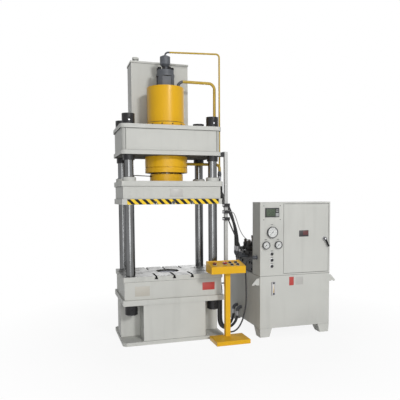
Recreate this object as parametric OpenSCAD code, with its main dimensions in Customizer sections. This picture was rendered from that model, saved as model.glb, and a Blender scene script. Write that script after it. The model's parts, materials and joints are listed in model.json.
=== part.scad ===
// Four-column hydraulic press with its power unit, control cabinet and push-button pedestal.
// Millimetres, +Z up, front towards -Y. The origin is on the floor under the axis of the ram.

/* [Columns] */
// Diameter of the four guide columns
col_dia = 100; // [90:1:110]
// Distance between left and right column centres
col_span_x = 950; // [920:5:980]
// Distance between front and rear column centres
col_span_y = 560; // [540:5:600]
// Radial room round a column in plates and nuts
col_clear = 0.4; // [0.2:0.1:1]

/* [Column nuts] */
// Diameter of the round column nuts
nut_dia = 138; // [126:1:144]
// Height of the round column nuts
nut_h = 110; // [80:1:120]
// Diameter of the lock nuts under the beam
lock_nut_dia = 126; // [118:1:140]
// Height of the lock nuts under the beam
lock_nut_h = 60; // [40:1:80]
// Diameter of the tommy-bar hole in a nut
tommy_dia = 24; // [12:1:30]
// Depth of the tommy-bar hole in a nut
tommy_depth = 12; // [6:1:14]

/* [Bed] */
// Thickness of the base plate
base_t = 40; // [30:1:60]
// How far the base plate stands out past the bed walls
base_lip = 8; // [0:1:20]
// Size of the cut at the corners of the base plate
base_cut = 36; // [10:1:60]
// Height of the corner recesses that hold the lower nuts
recess_h = 405; // [300:5:450]
// Depth of a recess from front to back
recess_d = 250; // [220:5:260]
// Room in a recess from the column axis to its open side
recess_out = 100; // [90:1:110]
// Room in a recess from the column axis to its inner wall
recess_in = 120; // [90:1:150]
// Reach from the column axis to the front of the lower bed
lower_edge_y = 95; // [90:1:110]
// Thickness of the middle plate
mid_t = 60; // [40:1:80]
// How far the middle plate stands out to the front and back
mid_lip = 10; // [0:1:20]
// Height of the upper box
box_h = 197; // [150:1:250]
// Reach from the column axis to the sides of the upper box
box_edge_x = 80; // [75:1:95]
// Reach from the column axis to the front of the upper box
box_edge_y = 72; // [65:1:80]
// Diameter of the anchor holes in the base plate
anchor_dia = 30; // [20:1:40]
// Inset of an anchor hole from the column axis
anchor_in = 80; // [60:1:90]
// Reach of an anchor hole to the front of the column axis
anchor_out = 60; // [40:1:70]

/* [Table] */
// Thickness of the table plate
table_t = 56; // [45:1:70]
// Reach from the column axis to the sides of the table plate
table_edge_x = 90; // [80:1:100]
// Reach from the column axis to the front of the table plate
table_edge_y = 82; // [75:1:90]
// Diameter of the centre hole
hole_dia = 270; // [262:1:280]
// Width of a T-slot's neck
slot_w = 22; // [14:1:28]
// Width of a T-slot's head
slot_head_w = 37; // [30:1:46]
// Depth of a T-slot's neck
slot_neck_h = 18; // [12:1:22]
// Height of a T-slot's head
slot_head_h = 17; // [10:1:20]
// Distance between the front-to-back T-slots
slot_pitch = 205; // [180:5:230]
// Length of a front or rear T-slot
slot_len = 215; // [150:5:220]
// Distance of the side T-slots from the middle
side_slot_y = 120; // [80:5:150]
// Length of a side T-slot
side_slot_len = 250; // [150:5:280]

/* [Slide] */
// Open height between table and slide with the slide up
daylight = 788; // [700:1:820]
// Stroke of the slide
stroke = 600; // [400:5:640]
// Thickness of the slide's bottom plate
slide_bot_t = 62; // [50:1:80]
// Height of the slide's box
slide_box_h = 139; // [100:1:160]
// Thickness of the slide's top plate
slide_top_t = 57; // [40:1:70]
// Reach from the column axis to the sides of the slide plates
slide_edge_x = 90; // [85:1:100]
// Reach from the column axis to the front of the slide plates
slide_edge_y = 76; // [75:1:90]
// How far the slide plates stand out past the slide's box
slide_lip = 14; // [5:1:20]
// Wall of the bronze guide bushes
bush_wall = 12; // [8:1:16]
// Diameter of the collar on top of a guide bush
collar_dia = 150; // [140:1:150]
// Height of the collar on top of a guide bush
collar_h = 40; // [20:1:50]
// Radial running clearance of guided parts
run_clear = 0.05; // [0.02:0.01:0.1]

/* [Upper beam] */
// Open height between slide and beam with the slide up
beam_gap = 286; // [275:1:320]
// Thickness of the beam's bottom plate
beam_bot_t = 45; // [30:1:60]
// Height of the beam's box
beam_box_h = 235; // [180:1:280]
// Thickness of the beam's top plate
beam_top_t = 45; // [30:1:60]
// Reach from the column axis to the sides of the beam plates
beam_edge_x = 95; // [85:1:105]
// Reach from the column axis to the front of the beam plates
beam_edge_y = 72; // [70:1:85]
// How far the beam plates stand out past the beam's box
beam_lip = 14; // [8:1:25]
// Radius of the beam's upright corners
beam_corner = 60; // [30:1:65]
// Depth of the flat panels sunk in the beam's front and back
panel_depth = 7; // [3:1:12]
// Width of the frame beside those panels
panel_frame = 48; // [40:1:100]

/* [Main cylinder] */
// Outer diameter of the cylinder above the beam
cyl_od = 425; // [400:1:440]
// Diameter of the cylinder bore
cyl_bore = 300; // [290:2:320]
// Diameter of the shoulder under the beam
shoulder_dia = 490; // [460:1:500]
// Height of the shoulder under the beam
shoulder_h = 122; // [90:1:130]
// Height of the cylinder above the beam
cyl_up = 460; // [420:1:500]
// Thickness of the closed top of the cylinder
cyl_cap_t = 60; // [40:1:80]
// Diameter of the oil port in the closed top
cyl_port = 90; // [50:1:110]
// Diameter of the ring nut on the beam
ring_nut_dia = 454; // [450:1:500]
// Height of the ring nut on the beam
ring_nut_h = 55; // [40:1:70]
// Height of the gland ring that guides the ram
gland_h = 63; // [50:1:80]
// Depth of the relief groove round the gland's top
gland_relief = 8; // [4:1:12]
// Diameter of the ram
ram_dia = 280; // [240:2:282]
// Height of the piston head
piston_h = 120; // [80:1:140]
// Room over the piston with the slide up
piston_room = 10; // [5:1:20]
// Diameter of the flange that joins the ram to the slide
ram_flange_dia = 383; // [340:1:400]
// Height of the flange that joins the ram to the slide
ram_flange_h = 88; // [60:1:88]

/* [Prefill valve] */
// Diameter of the valve body
valve_dia = 212; // [190:1:214]
// Height of the valve body
valve_h = 155; // [130:1:180]
// Diameter of the valve's flange
valve_flange_dia = 196; // [180:1:210]
// Height of the valve's flange
valve_flange_h = 46; // [30:1:60]
// Width of a suction window in the valve body
window_w = 104; // [80:1:110]
// Height of a suction window in the valve body
window_h = 108; // [90:1:115]
// Depth of a suction window in the valve body
window_depth = 24; // [10:1:30]
// Diameter of the neck under the pilot head
neck_dia = 70; // [50:1:80]
// Height of the neck and its cone
neck_h = 70; // [50:1:90]
// Diameter of the pilot head
head_dia = 118; // [100:1:130]
// Height of the pilot head
head_h = 86; // [60:1:100]
// Height of the small cap on the pilot head
head_cap_h = 12; // [6:1:20]

/* [Overhead tank] */
// Mean gap from the overhead tank to the nuts beside it
top_tank_gap = 61; // [55:1:80]
// Depth of the overhead tank
top_tank_d = 290; // [250:5:320]
// Height of the overhead tank without its lid
top_tank_h = 795; // [700:5:850]
// Shift of the overhead tank to the right of the cylinder axis
top_tank_x = -12; // [-20:1:20]
// Distance of the overhead tank's front from the cylinder axis
top_tank_y = 248; // [242:1:262]
// Thickness of the tank's lid
top_lid_t = 22; // [12:1:30]
// How far the lid stands out past the tank
top_lid_lip = 6; // [0:1:12]
// Diameter of the suction pipe from tank to valve
suction_dia = 96; // [80:1:100]
// Diameter of the filler cap
cap_dia = 78; // [60:1:90]
// Height of the filler cap
cap_h = 52; // [40:1:70]
// Distance of the filler cap from the tank's left side
cap_inset = 66; // [50:1:100]

/* [Pipes] */
// Diameter of the main pressure pipe and the return pipe
main_pipe_dia = 34; // [28:1:40]
// Diameter of the pilot pipe
pilot_pipe_dia = 20; // [14:1:24]
// Bend radius of the pipes
pipe_bend = 70; // [60:1:80]
// Distance of the main pipe's flange from the cylinder axis
main_pipe_x = 148; // [146:1:156]
// Height of the main pipe's bend over the cylinder
main_pipe_rise = 92; // [85:1:120]
// Distance of the main pipe's down run from the beam's side
main_drop_gap = 24; // [22:1:30]
// Width of the main pipe's flange on the cylinder
pipe_flange_w = 52; // [44:1:56]
// Thickness of the main pipe's flange on the cylinder
pipe_flange_t = 24; // [15:1:30]
// Height of the pilot pipe over the pilot head
pilot_rise = 42; // [40:1:60]
// Bend radius of the pilot pipe
pilot_bend = 38; // [25:1:39]
// Bend radius of the return pipe
return_bend = 50; // [40:1:60]
// Height of the return pipe over the gland
return_up = 50; // [45:1:80]
// Diameter of the boss that the return pipe screws into
return_boss_dia = 50; // [44:1:56]
// Distance of the pilot pipe's down run from the beam's side
pilot_drop_gap = 52; // [50:1:60]
// Distance of the pilot pipe's down run to the front of the axis
pilot_drop_y = -100; // [-110:1:-90]
// Distance of the return pipe's down run from the beam's side
return_drop_gap = 106; // [100:1:120]
// Distance of the return pipe to the rear of the axis
return_y = 60; // [55:1:70]
// Drop of the lower pipe ends under the beam
pipe_end_drop = 160; // [150:1:170]
// Length of the unions at the pipe ends
union_len = 60; // [50:1:70]
// Height of the hexagon nut on a union
union_nut_h = 24; // [18:1:30]
// Height of the hose elbows above the oil tank's top
elbow_up = 185; // [175:1:190]
// Height of the ejector hoses' ports above the oil tank's underside
tank_port_up = 138; // [133:1:158]
// Height of the cable plug above the oil tank's top
plug_up = 210; // [200:1:220]
// Distance of the cable plug behind the cabinet's front
plug_in = 95; // [90:1:100]
// Length of the cable plug
plug_len = 55; // [50:1:60]
// Diameter of the cable plug on the cabinet
plug_dia = 48; // [40:1:54]
// Length of the nose and of a rib of the cable plug
plug_nose = 12; // [8:1:14]
// Wall of the unions round their pipe or hose
union_wall = 8; // [5:1:10]

/* [Sensor pole] */
// Side of the square pole
pole_side = 40; // [30:1:46]
// Wall of the square pole
pole_wall = 4; // [2:1:6]
// Distance of the pole's axis from the beam's side
pole_gap = 94; // [90:1:100]
// Distance of the pole to the front of the ram axis
pole_y = -200; // [-210:1:-190]
// Height of the pole's top above the floor
pole_top = 2150; // [2140:1:2160]
// Height of the pole's foot above the floor
pole_foot = 560; // [540:1:580]
// Thickness of the pole's brackets and sensor clamps
bracket_t = 12; // [6:1:14]
// Height of the highest sensor above the floor
sensor_z = 1530; // [1520:1:1540]
// Distance between two sensors
sensor_pitch = 80; // [70:1:90]
// Diameter of a sensor
sensor_dia = 18; // [12:1:20]
// Length of a sensor
sensor_len = 86; // [80:1:86]
// Gap between the target plate and a sensor
sensing_gap = 6; // [4:1:10]
// Thickness of the target plate on the slide
target_t = 12; // [6:1:16]
// Depth of the target plate from front to back
target_d = 46; // [30:1:60]
// How far the target plate stands out from the slide
target_reach = 40; // [30:1:42]

/* [Ejector] */
// Outer diameter of the ejector cylinder
ejector_od = 210; // [190:1:214]
// Bore of the ejector cylinder
ejector_bore = 140; // [120:2:150]
// Diameter of the ejector's flange
ejector_flange_dia = 256; // [240:1:258]
// Height of the ejector's flange
ejector_flange_h = 40; // [30:1:50]
// Height of the seat that the ejector's flange rests on
ejector_seat_z = 560; // [540:1:570]
// Height of the ejector's closed foot above the floor
ejector_foot_z = 110; // [100:1:130]
// Thickness of the ejector's closed foot and of its top
ejector_cap_t = 24; // [15:1:30]
// Diameter of the ejector rod
ejector_rod_dia = 80; // [60:2:90]
// Height of the ejector piston
ejector_piston_h = 60; // [40:1:80]
// Diameter of the ejector head
ejector_head_dia = 200; // [150:1:220]
// Height of the ejector head
ejector_head_h = 40; // [30:1:50]
// Depth of the ejector head under the table
ejector_sink = 14; // [5:1:20]
// Diameter of the ejector's oil pipe
ejector_pipe_dia = 34; // [30:1:36]
// Distance of the first ejector hose from the bed's side
ejector_hose_gap = 30; // [28:1:34]
// Distance between the two ejector hoses along the bed's side
ejector_hose_step = 50; // [46:1:54]
// Offset of the second ejector pipe's end to the right
ejector_hose_shift = 45; // [42:1:50]
// Distance of the second ejector pipe to the front of the axis
ejector_pipe_y = 50; // [45:1:55]
// Drop of the ejector pipes' ends under the seat
ejector_drop = 60; // [55:1:70]
// Bend radius of the ejector pipes
ejector_bend = 45; // [40:1:50]
// Radial room round the ejector cylinder and its pipes in the bed
ejector_room = 3; // [2:0.5:4]

/* [Power unit] */
// Distance of the unit's left side from the bed's side
unit_gap = 385; // [380:1:390]
// Distance of the unit's front from the ram axis
unit_y = -535; // [-545:1:-525]
// Width of the unit
unit_w = 900; // [890:5:920]
// Height of the tank's feet
foot_h = 102; // [80:1:120]
// Height of the tank
tank_h = 613; // [600:1:630]
// Depth of the tank
tank_d = 800; // [780:5:850]
// Width of a foot at the tank
foot_w = 115; // [100:1:130]
// Width of a foot at the floor
foot_tip_w = 76; // [60:1:90]
// Depth of a foot
foot_d = 100; // [80:1:120]
// Height of the cabinet
cab_h = 848; // [846:1:860]
// Depth of the cabinet
cab_d = 225; // [210:5:230]
// Wall of the cabinet
cab_wall = 4; // [2:1:5]
// Width of the fixed control panel beside the door
panel_w = 290; // [286:1:296]
// Distance of a lifting lug behind the unit's front
lug_y = 130; // [110:1:180]
// Reach of a lifting lug from the tank's side
lug_reach = 62; // [50:1:80]
// Height of a lifting lug
lug_h = 76; // [60:1:90]
// Thickness of a lifting lug
lug_t = 14; // [8:1:20]
// Diameter of the hole in a lifting lug
lug_hole = 34; // [20:1:36]
// Distance of a lifting lug's top under the tank's top
lug_down = 20; // [10:1:40]
// Height of a lifting lug's outer edge
lug_tip = 19; // [12:1:24]
// Width of the oil level gauge
level_w = 44; // [36:1:60]
// Height of the oil level gauge
level_h = 150; // [120:1:200]
// Depth of the oil level gauge
level_d = 18; // [12:1:24]
// Width of the oil level gauge's window
level_window = 20; // [12:1:26]
// Height of the oil level gauge's ends beyond its window
level_end = 25; // [18:1:30]
// Depth of the level gauge's middle under the tank's top
level_down = 145; // [120:1:170]
// Offset of the level gauge from the middle of the panel
level_x = 19; // [0:1:40]

/* [Door] */
// Width of the cabinet's frame round the door
door_frame = 18; // [14:1:24]
// Gap round the door
door_gap = 4; // [3:0.5:5]
// Depth of the folded door
door_d = 22; // [18:1:26]
// Sheet of the folded door
door_sheet = 3; // [2:1:4]
// Radius of the door's hinge edge
door_round = 7; // [7:1:8]
// Diameter of a hinge pin
hinge_pin_dia = 8; // [6:1:8]
// Length of a hinge pin inside the door
hinge_pin_len = 20; // [12:1:24]
// Distance of the handle from the door's right edge
handle_in = 54; // [45:1:60]
// Height of the handle above the door's lower edge
handle_z = 390; // [350:5:430]
// Length of the handle's lever
handle_len = 104; // [90:1:115]
// Tilt of the handle's lever from plumb
handle_tilt = 28; // [10:1:30]
// Diameter of the handle's boss
handle_boss = 34; // [28:1:36]

/* [Electrical gear] */
// Distance of the mounting plate from the door's edges
gear_inset = 40; // [30:1:50]
// Thickness of the mounting plate
gear_plate_t = 4; // [3:1:6]
// Gap between the gear and the edges of the mounting plate
gear_edge = 40; // [30:1:44]
// Width of a circuit breaker
breaker_w = 60; // [50:1:64]
// Height of a circuit breaker
breaker_h = 100; // [80:1:110]
// Depth of a circuit breaker
breaker_d = 70; // [50:1:80]
// Width of a contactor
contactor_w = 90; // [80:1:92]
// Height of a contactor and of the drive
contactor_h = 110; // [90:1:120]
// Depth of a contactor
contactor_d = 80; // [60:1:86]
// Width of the drive
drive_w = 180; // [150:1:200]
// Height of the terminal row
terminal_row_h = 50; // [40:1:60]
// Depth of the terminal row
terminal_row_d = 40; // [30:1:50]
// Gap between two rows of gear
row_gap = 60; // [50:1:64]

/* [Control panel] */
// Width of the display
display_w = 170; // [150:1:180]
// Height of the display
display_h = 104; // [90:1:110]
// Depth of the display's case
display_d = 14; // [8:1:20]
// Height of the display's middle above the cabinet's foot
display_z = 730; // [725:1:740]
// Diameter of the main gauge
gauge_dia = 130; // [110:1:134]
// Height of the main gauge above the cabinet's foot
gauge_z = 504; // [495:1:515]
// Diameter of the small gauges
small_gauge_dia = 90; // [80:1:94]
// Height of the small gauges above the cabinet's foot
small_gauge_z = 358; // [350:1:365]
// Distance between the small gauges
small_gauge_pitch = 153; // [145:1:160]
// Depth of a gauge case
gauge_d = 30; // [24:1:36]
// Width of a gauge's chrome ring
gauge_ring = 8; // [6:1:10]
// Depth of the dial inside its ring
dial_depth = 8; // [7:1:10]
// Thickness of a needle
needle_t = 1.6; // [1:0.2:2]
// Distance of a needle from its dial
needle_lift = 1; // [0.6:0.2:1.4]
// Diameter of a gauge's centre pin
needle_pin_dia = 4; // [3:0.5:5]
// Diameter of the push buttons
button_dia = 24; // [20:1:28]
// Wall of a button's collar
button_wall = 5; // [3:1:6]
// Height of a button's collar
button_collar_h = 10; // [8:1:12]
// How far a button stands out of its collar
button_proud = 8; // [6:1:12]
// Travel of a button
button_travel = 4; // [2:0.5:5]
// Radial room round a button
button_clear = 0.3; // [0.2:0.1:0.5]
// Height of the highest panel button above the cabinet's foot
button_z = 255; // [250:1:260]
// Distance between two panel buttons
button_pitch = 71; // [65:1:75]

/* [Manifold and pump] */
// Width of the manifold block
block_w = 120; // [100:1:130]
// Depth of the manifold block
block_d = 380; // [360:5:390]
// Height of the manifold block
block_h = 250; // [230:1:270]
// Distance of the manifold block from the tank's left side
block_x = 26; // [20:1:30]
// Distance of the manifold block behind the cabinet
block_y = 40; // [30:1:60]
// Side of a directional valve's body
valve_side = 62; // [50:1:66]
// Diameter of a solenoid coil
coil_dia = 50; // [40:1:56]
// Length of a solenoid coil
coil_len = 54; // [40:1:60]
// Distance of the relief valve behind the block's front
relief_in = 46; // [42:1:50]
// Height of the relief valve's body
relief_h = 90; // [80:1:100]
// Height of the relief valve's coil
relief_coil_h = 80; // [60:1:90]
// Diameter of the relief valve's knob
knob_dia = 22; // [16:1:26]
// Height of the relief valve's knob
knob_h = 30; // [20:1:40]
// Distance of the first directional valve behind the block's front
first_valve_in = 160; // [155:1:165]
// Reach of a coil's plug from its coil
coil_plug = 20; // [16:1:24]
// Width and height of a coil's plug
coil_plug_w = 28; // [24:1:32]
// Distance between two valves on the block
valve_pitch = 120; // [110:1:125]
// Diameter of the electric motor
motor_dia = 250; // [220:1:260]
// Length of the electric motor
motor_len = 400; // [360:5:420]
// Distance of the electric motor from the tank's right side
motor_gap = 60; // [40:1:70]
// Height of the motor's axis above the tank
motor_z = 160; // [150:1:180]
// Distance of the motor's axis behind the unit's front
motor_y = 540; // [520:5:560]
// Length of the motor's drive end
motor_end_len = 24; // [20:1:30]
// Length of the motor's fan cowl
cowl_len = 60; // [50:1:70]
// Height of the motor's cooling fins
fin_h = 6; // [4:1:8]
// Thickness of the motor's cooling fins
fin_t = 4; // [3:1:5]
// Gap between the fins and the motor's ends
fin_gap = 14; // [10:1:20]
// Width of the motor's foot
motor_foot_w = 200; // [180:1:220]
// Thickness of the motor's foot
motor_foot_t = 20; // [14:1:24]
// Distance of the motor's foot from its ends
motor_foot_in = 80; // [70:1:90]
// Side of the motor's terminal box
motor_box = 120; // [100:1:130]
// Height of the motor's terminal box above the motor
motor_box_h = 46; // [36:1:56]
// Diameter of the pump's bell housing
bell_dia = 200; // [180:1:220]
// Thickness of the bell housing's flanges
bell_flange_t = 20; // [14:1:26]
// Length of the pump's bell housing
bell_len = 110; // [90:1:120]
// Diameter of the pump
pump_dia = 140; // [120:1:150]
// Length of the pump
pump_len = 130; // [110:1:150]

/* [Pedestal] */
// Distance of the pedestal's left edge from the ram axis
stand_x = 388; // [380:1:392]
// Distance of the pedestal's front from the ram axis
stand_y = -690; // [-700:1:-680]
// Width of the pedestal's base
stand_w = 394; // [380:1:400]
// Depth of the pedestal's base
stand_d = 270; // [260:1:276]
// Height of the base's rim
stand_rim = 48; // [40:1:60]
// Rise of the base towards the post
stand_rise = 24; // [10:1:40]
// Side of the square post
post_side = 58; // [50:1:64]
// Distance of the post from the base's left edge
post_x = 172; // [165:1:180]
// Distance of the post from the base's front
post_y = 150; // [145:1:155]
// Height of the console's underside above the floor
console_z = 788; // [780:1:800]
// Width of the console
console_w = 396; // [380:1:400]
// Depth of the console
console_d = 212; // [200:1:220]
// Height of the console's front
console_front_h = 80; // [70:1:90]
// Height of the console's back
console_back_h = 122; // [110:1:130]
// Inset of the console's left edge from the base's
console_x = -48; // [-55:1:-40]
// Distance of the console's front from the base's front
console_y = 30; // [25:1:35]
// Width of the rim round the console's panel
console_rim = 12; // [8:1:16]
// Depth of the panel under the rim
console_sink = 6; // [3:1:8]
// Diameter of the palm button
palm_dia = 42; // [36:1:46]
// Diameter of the emergency stop's head
stop_dia = 54; // [44:1:56]

/* [Hidden] */
$fn = 64;

paint = [0.77, 0.77, 0.74];
yellow = [0.92, 0.68, 0.08];
black = [0.08, 0.08, 0.08];
chrome = [0.85, 0.86, 0.87];
steel = [0.6, 0.6, 0.6];
iron = [0.3, 0.3, 0.32];

eps = 0.01;
cut = 1;

// Heights of the stacked plates
recess_top = base_t + recess_h;
mid_top = recess_top + mid_t;
box_top = mid_top + box_h;
table_z = box_top + table_t;
slide_z = table_z + daylight;
slide_box_z = slide_z + slide_bot_t;
slide_top_z = slide_box_z + slide_box_h;
slide_top = slide_top_z + slide_top_t;
beam_z = slide_top + beam_gap;
beam_box_z = beam_z + beam_bot_t;
beam_top_z = beam_box_z + beam_box_h;
beam_top = beam_top_z + beam_top_t;
cyl_z = beam_z - shoulder_h;
cyl_top = beam_top + cyl_up;
valve_top = cyl_top + valve_h;
head_z = valve_top + valve_flange_h + neck_h;
head_top = head_z + head_h + head_cap_h;
top_tank_top = beam_top + top_tank_h;

// Half sizes measured out from the column axes
col_x = col_span_x / 2;
col_y = col_span_y / 2;
lower_w = col_span_x + 2 * recess_out;
lower_d = col_span_y + 2 * lower_edge_y;
box_w = col_span_x + 2 * box_edge_x;
slide_w = col_span_x + 2 * slide_edge_x;
beam_w = col_span_x + 2 * beam_edge_x;
beam_d = col_span_y + 2 * beam_edge_y;
bush_od = col_dia + 2 * bush_wall;
top_tank_w = col_span_x - nut_dia - 2 * top_tank_gap;
main_drop_x = beam_w / 2 + main_drop_gap;
pilot_drop_x = beam_w / 2 + pilot_drop_gap;
return_drop_x = beam_w / 2 + return_drop_gap;
pipe_end_z = beam_z - pipe_end_drop;
hose_top_z = pipe_end_z - union_len;
pole_x = beam_w / 2 + pole_gap;
ejector_pipe_z = ejector_seat_z + ejector_flange_h / 2;
ejector_out = lower_w / 2 + ejector_hose_gap;
ejector_ends = [[ejector_out, -ejector_pipe_y - ejector_hose_step, ejector_seat_z - ejector_drop],
  [ejector_out + ejector_hose_shift, -ejector_pipe_y, ejector_seat_z - ejector_drop]];

// Places on the power unit
unit_x = lower_w / 2 + unit_gap;
tank_top = foot_h + tank_h;
unit_right = unit_x + unit_w;
cab_back = unit_y + cab_d;
panel_mid = unit_x + panel_w / 2;
door_x = unit_x + panel_w + door_gap;
door_w = unit_right - door_frame - door_gap - door_x;
door_z = tank_top + door_frame + door_gap;
door_h = cab_h - 2 * (door_frame + door_gap);
hinge_x = door_x + door_round;
hinge_y = unit_y + door_round;
handle_x = door_x + door_w - handle_in;
block_left = unit_x + block_x;
block_front = cab_back + block_y;
motor_x = unit_right - motor_gap - motor_len;
return_z = cyl_z + return_up;
return_boss_out = 10;
return_boss_x = sqrt(pow(shoulder_dia / 2, 2) - pow(return_y, 2)) + return_boss_out;
sensor_y = pole_y - pole_side / 2 - sensor_dia;
sensor_tip = slide_w / 2 + target_reach + sensing_gap;
block_mid = block_left + block_w / 2;
relief_y = block_front + relief_in;
relief_top = tank_top + block_h + relief_h;
elbow_z = tank_top + elbow_up;
tank_port_z = foot_h + tank_port_up;

// Places of the console's controls from its left and front edges
palm_place = [66, 96];
stop_place = [186, 100];
button_places = [[256, 134], [324, 134], [256, 62], [324, 62]];

// Sizes of the hoses and cables, and of their ends
hose_dia = 34;
pilot_hose_dia = 16;
sensor_cable_dia = 9;
pedestal_cable_dia = 18;
cord_sides = 10;
hose_reach = 98;
hose_lift = 60;
tank_hose_reach = 52;
tank_hose_lift = 50;
return_hose_y = 70;
pilot_hose_y = -76;
hose_end = [block_left - hose_reach, 0, elbow_z + hose_lift];
tank_hose_end = [unit_x - tank_hose_reach, 0, tank_port_z - tank_hose_lift];
ejector_port_y = [60, 200];
cable_exit_y = -5;
cable_exit_z = 110;
pedestal_exit = [stand_x + post_x + post_side / 2, stand_y + post_y + cable_exit_y, cable_exit_z];

// A route moved to run from one place to another, with straight ends
function hung(points, start, end) =
  let (n = len(points))
  [for (i = [0:n - 1])
    let (share = min(max((i - 1) / (n - 3), 0), 1))
    points[i] + (start - points[0]) * (1 - share) + (end - points[n - 1]) * share];

// Routes of the free hoses and cables
pressure_route = hung([[594, 0, 1870], [594, 0, 1790], [612, 0, 1706], [652, 0, 1630], [704, 0, 1560],
  [752, 0, 1490], [796, 0, 1410], [834, 0, 1320], [864, 0, 1222], [882, 0, 1124], [888, 0, 1040],
  [888, 0, 960]], [main_drop_x, 0, hose_top_z], hose_end);
return_route = hung([[676, 60, 1870], [676, 60, 1790], [690, 61, 1706], [726, 62, 1622], [772, 64, 1540],
  [816, 66, 1450], [850, 68, 1352], [874, 69, 1250], [886, 70, 1150], [888, 70, 1050], [888, 70, 960]],
  [return_drop_x, return_y, hose_top_z], hose_end + [0, return_hose_y, 0]);
pilot_route = hung([[622, -100, 1870], [622, -100, 1790], [632, -99, 1690], [654, -97, 1586],
  [684, -94, 1486], [720, -90, 1390], [760, -86, 1296], [802, -82, 1206], [846, -79, 1116],
  [876, -77, 1056], [888, -76, 1010], [888, -76, 960]], [pilot_drop_x, pilot_drop_y, hose_top_z],
  hose_end + [0, pilot_hose_y, 0]);
ejector_route_1 = hung([[605, -100, 500], [605, -100, 390], [605, -100, 280], [605, -100, 170],
  [614, -95, 108], [644, -79, 56], [692, -53, 24], [750, -22, 18], [806, 8, 22], [858, 36, 50],
  [894, 55, 98], [908, 60, 146], [908, 60, 190]], ejector_ends[0],
  tank_hose_end + [0, ejector_port_y[0], 0]);
ejector_route_2 = hung([[650, -50, 500], [650, -50, 390], [650, -50, 280], [650, -50, 170], [658, -42, 108],
  [683, -18, 56], [724, 22, 24], [774, 70, 18], [822, 116, 22], [866, 160, 50], [897, 189, 98],
  [908, 200, 146], [908, 200, 190]], ejector_ends[1], tank_hose_end + [0, ejector_port_y[1], 0]);
sensor_route = hung([[697, -238, 1450], [722, -238, 1450], [748, -236, 1436], [770, -231, 1402],
  [792, -224, 1350], [816, -215, 1288], [842, -208, 1228], [874, -208, 1172], [912, -215, 1128],
  [952, -222, 1102], [982, -224, 1095], [1001, -224, 1095]],
  [sensor_tip + sensor_len, sensor_y, sensor_z - sensor_pitch],
  [block_mid - coil_dia / 2 - coil_plug, relief_y, relief_top + relief_coil_h / 2]);
pedestal_route = hung([[589, -545, 110], [624, -545, 110], [664, -540, 124], [702, -532, 154],
  [736, -522, 200], [766, -512, 262], [790, -502, 340], [806, -490, 430], [814, -476, 530],
  [817, -460, 630], [818, -446, 730], [820, -440, 810], [828, -440, 858], [846, -440, 896],
  [874, -440, 919], [899, -440, 925], [905, -440, 925]], pedestal_exit,
  [unit_x - plug_len, unit_y + plug_in, tank_top + plug_up]);

// A box from its two corners
module block(low, high) {
  translate(low) cube(high - low);
}

// A box centred on the ram axis
module slab(w, d, h, z) {
  translate([-w / 2, -d / 2, z]) cube([w, d, h]);
}

// A rectangle with round corners
module round_rect(w, d, r) {
  square([w - 2 * r, d], center = true);
  square([w, d - 2 * r], center = true);
  for (x = [-1, 1], y = [-1, 1]) {
    translate([x * (w / 2 - r), y * (d / 2 - r)]) circle(r);
  }
}

// A rectangle with its four corners cut off
module cut_rect(w, d, c) {
  x = w / 2;
  y = d / 2;
  polygon([[-x + c, -y], [x - c, -y], [x, -y + c], [x, y - c], [x - c, y], [-x + c, y], [-x, y - c],
    [-x, -y + c]]);
}

// A straight ring
module ring(od, id, h) {
  difference() {
    cylinder(d = od, h = h);
    translate([0, 0, -cut]) cylinder(d = id, h = h + 2 * cut);
  }
}

// A round bar from one point to another
module rod(a, b, d) {
  v = b - a;
  translate(a)
    rotate([0, acos(v.z / norm(v)), atan2(v.y, v.x)])
      cylinder(d = d, h = norm(v));
}

// A pipe along points, with round bends
module pipe(points, d, r) {
  n = len(points);
  unit = [for (i = [0:n - 2]) (points[i + 1] - points[i]) / norm(points[i + 1] - points[i])];
  turn = [for (i = [1:n - 2]) acos(unit[i - 1] * unit[i])];
  trim = [0, for (t = turn) r * tan(t / 2), 0];
  for (i = [0:n - 2]) {
    rod(points[i] + unit[i] * trim[i], points[i + 1] - unit[i] * trim[i + 1], d);
  }
  for (i = [1:n - 2]) {
    a = unit[i - 1];
    b = unit[i];
    inward = (b - a * (a * b)) / sin(turn[i - 1]);
    start = points[i] - a * trim[i];
    side = cross(-inward, a);
    centre = start + inward * r;
    multmatrix([[-inward.x, a.x, side.x, centre.x], [-inward.y, a.y, side.y, centre.y],
          [-inward.z, a.z, side.z, centre.z], [0, 0, 0, 1]])
      rotate_extrude(angle = turn[i - 1]) translate([r, 0]) circle(d = d);
  }
}

// Direction of a route at one of its points
function heading(route, i) =
  let (a = route[max(i - 1, 0)], b = route[min(i + 1, len(route) - 1)]) (b - a) / norm(b - a);

// A ring of points round a route, square to it
function cord_ring(route, i, d) =
  let (t = heading(route, i), across = cross([0.1, 1, 0.05], t), u = across / norm(across), v = cross(t, u))
  [for (k = [0:cord_sides - 1])
    route[i] + (u * cos(360 * k / cord_sides) + v * sin(360 * k / cord_sides)) * d / 2];

// A plain tube along a route
module cord(route, d) {
  n = len(route);
  last = cord_sides * (n - 1);
  sides = [for (i = [0:n - 2], k = [0:cord_sides - 1])
    [i * cord_sides + k, i * cord_sides + (k + 1) % cord_sides,
    (i + 1) * cord_sides + (k + 1) % cord_sides, (i + 1) * cord_sides + k]];
  ends = [[for (k = [cord_sides - 1:-1:0]) k], [for (k = [0:cord_sides - 1]) last + k]];
  polyhedron([for (i = [0:n - 1]) each cord_ring(route, i, d)],
    [for (f = concat(sides, ends)) [for (k = [len(f) - 1:-1:0]) f[k]]]);
}

// Puts a copy at each of the four columns
module at_columns() {
  for (x = [-col_x, col_x], y = [-col_y, col_y]) translate([x, y, 0]) children();
}

// Puts a mirrored copy in each quarter
module in_quarters() {
  for (mx = [0, 1], my = [0, 1]) mirror([mx, 0, 0]) mirror([0, my, 0]) children();
}

module column_holes(z, h) {
  at_columns() translate([0, 0, z - cut]) cylinder(d = col_dia + 2 * col_clear, h = h + 2 * cut);
}

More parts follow.
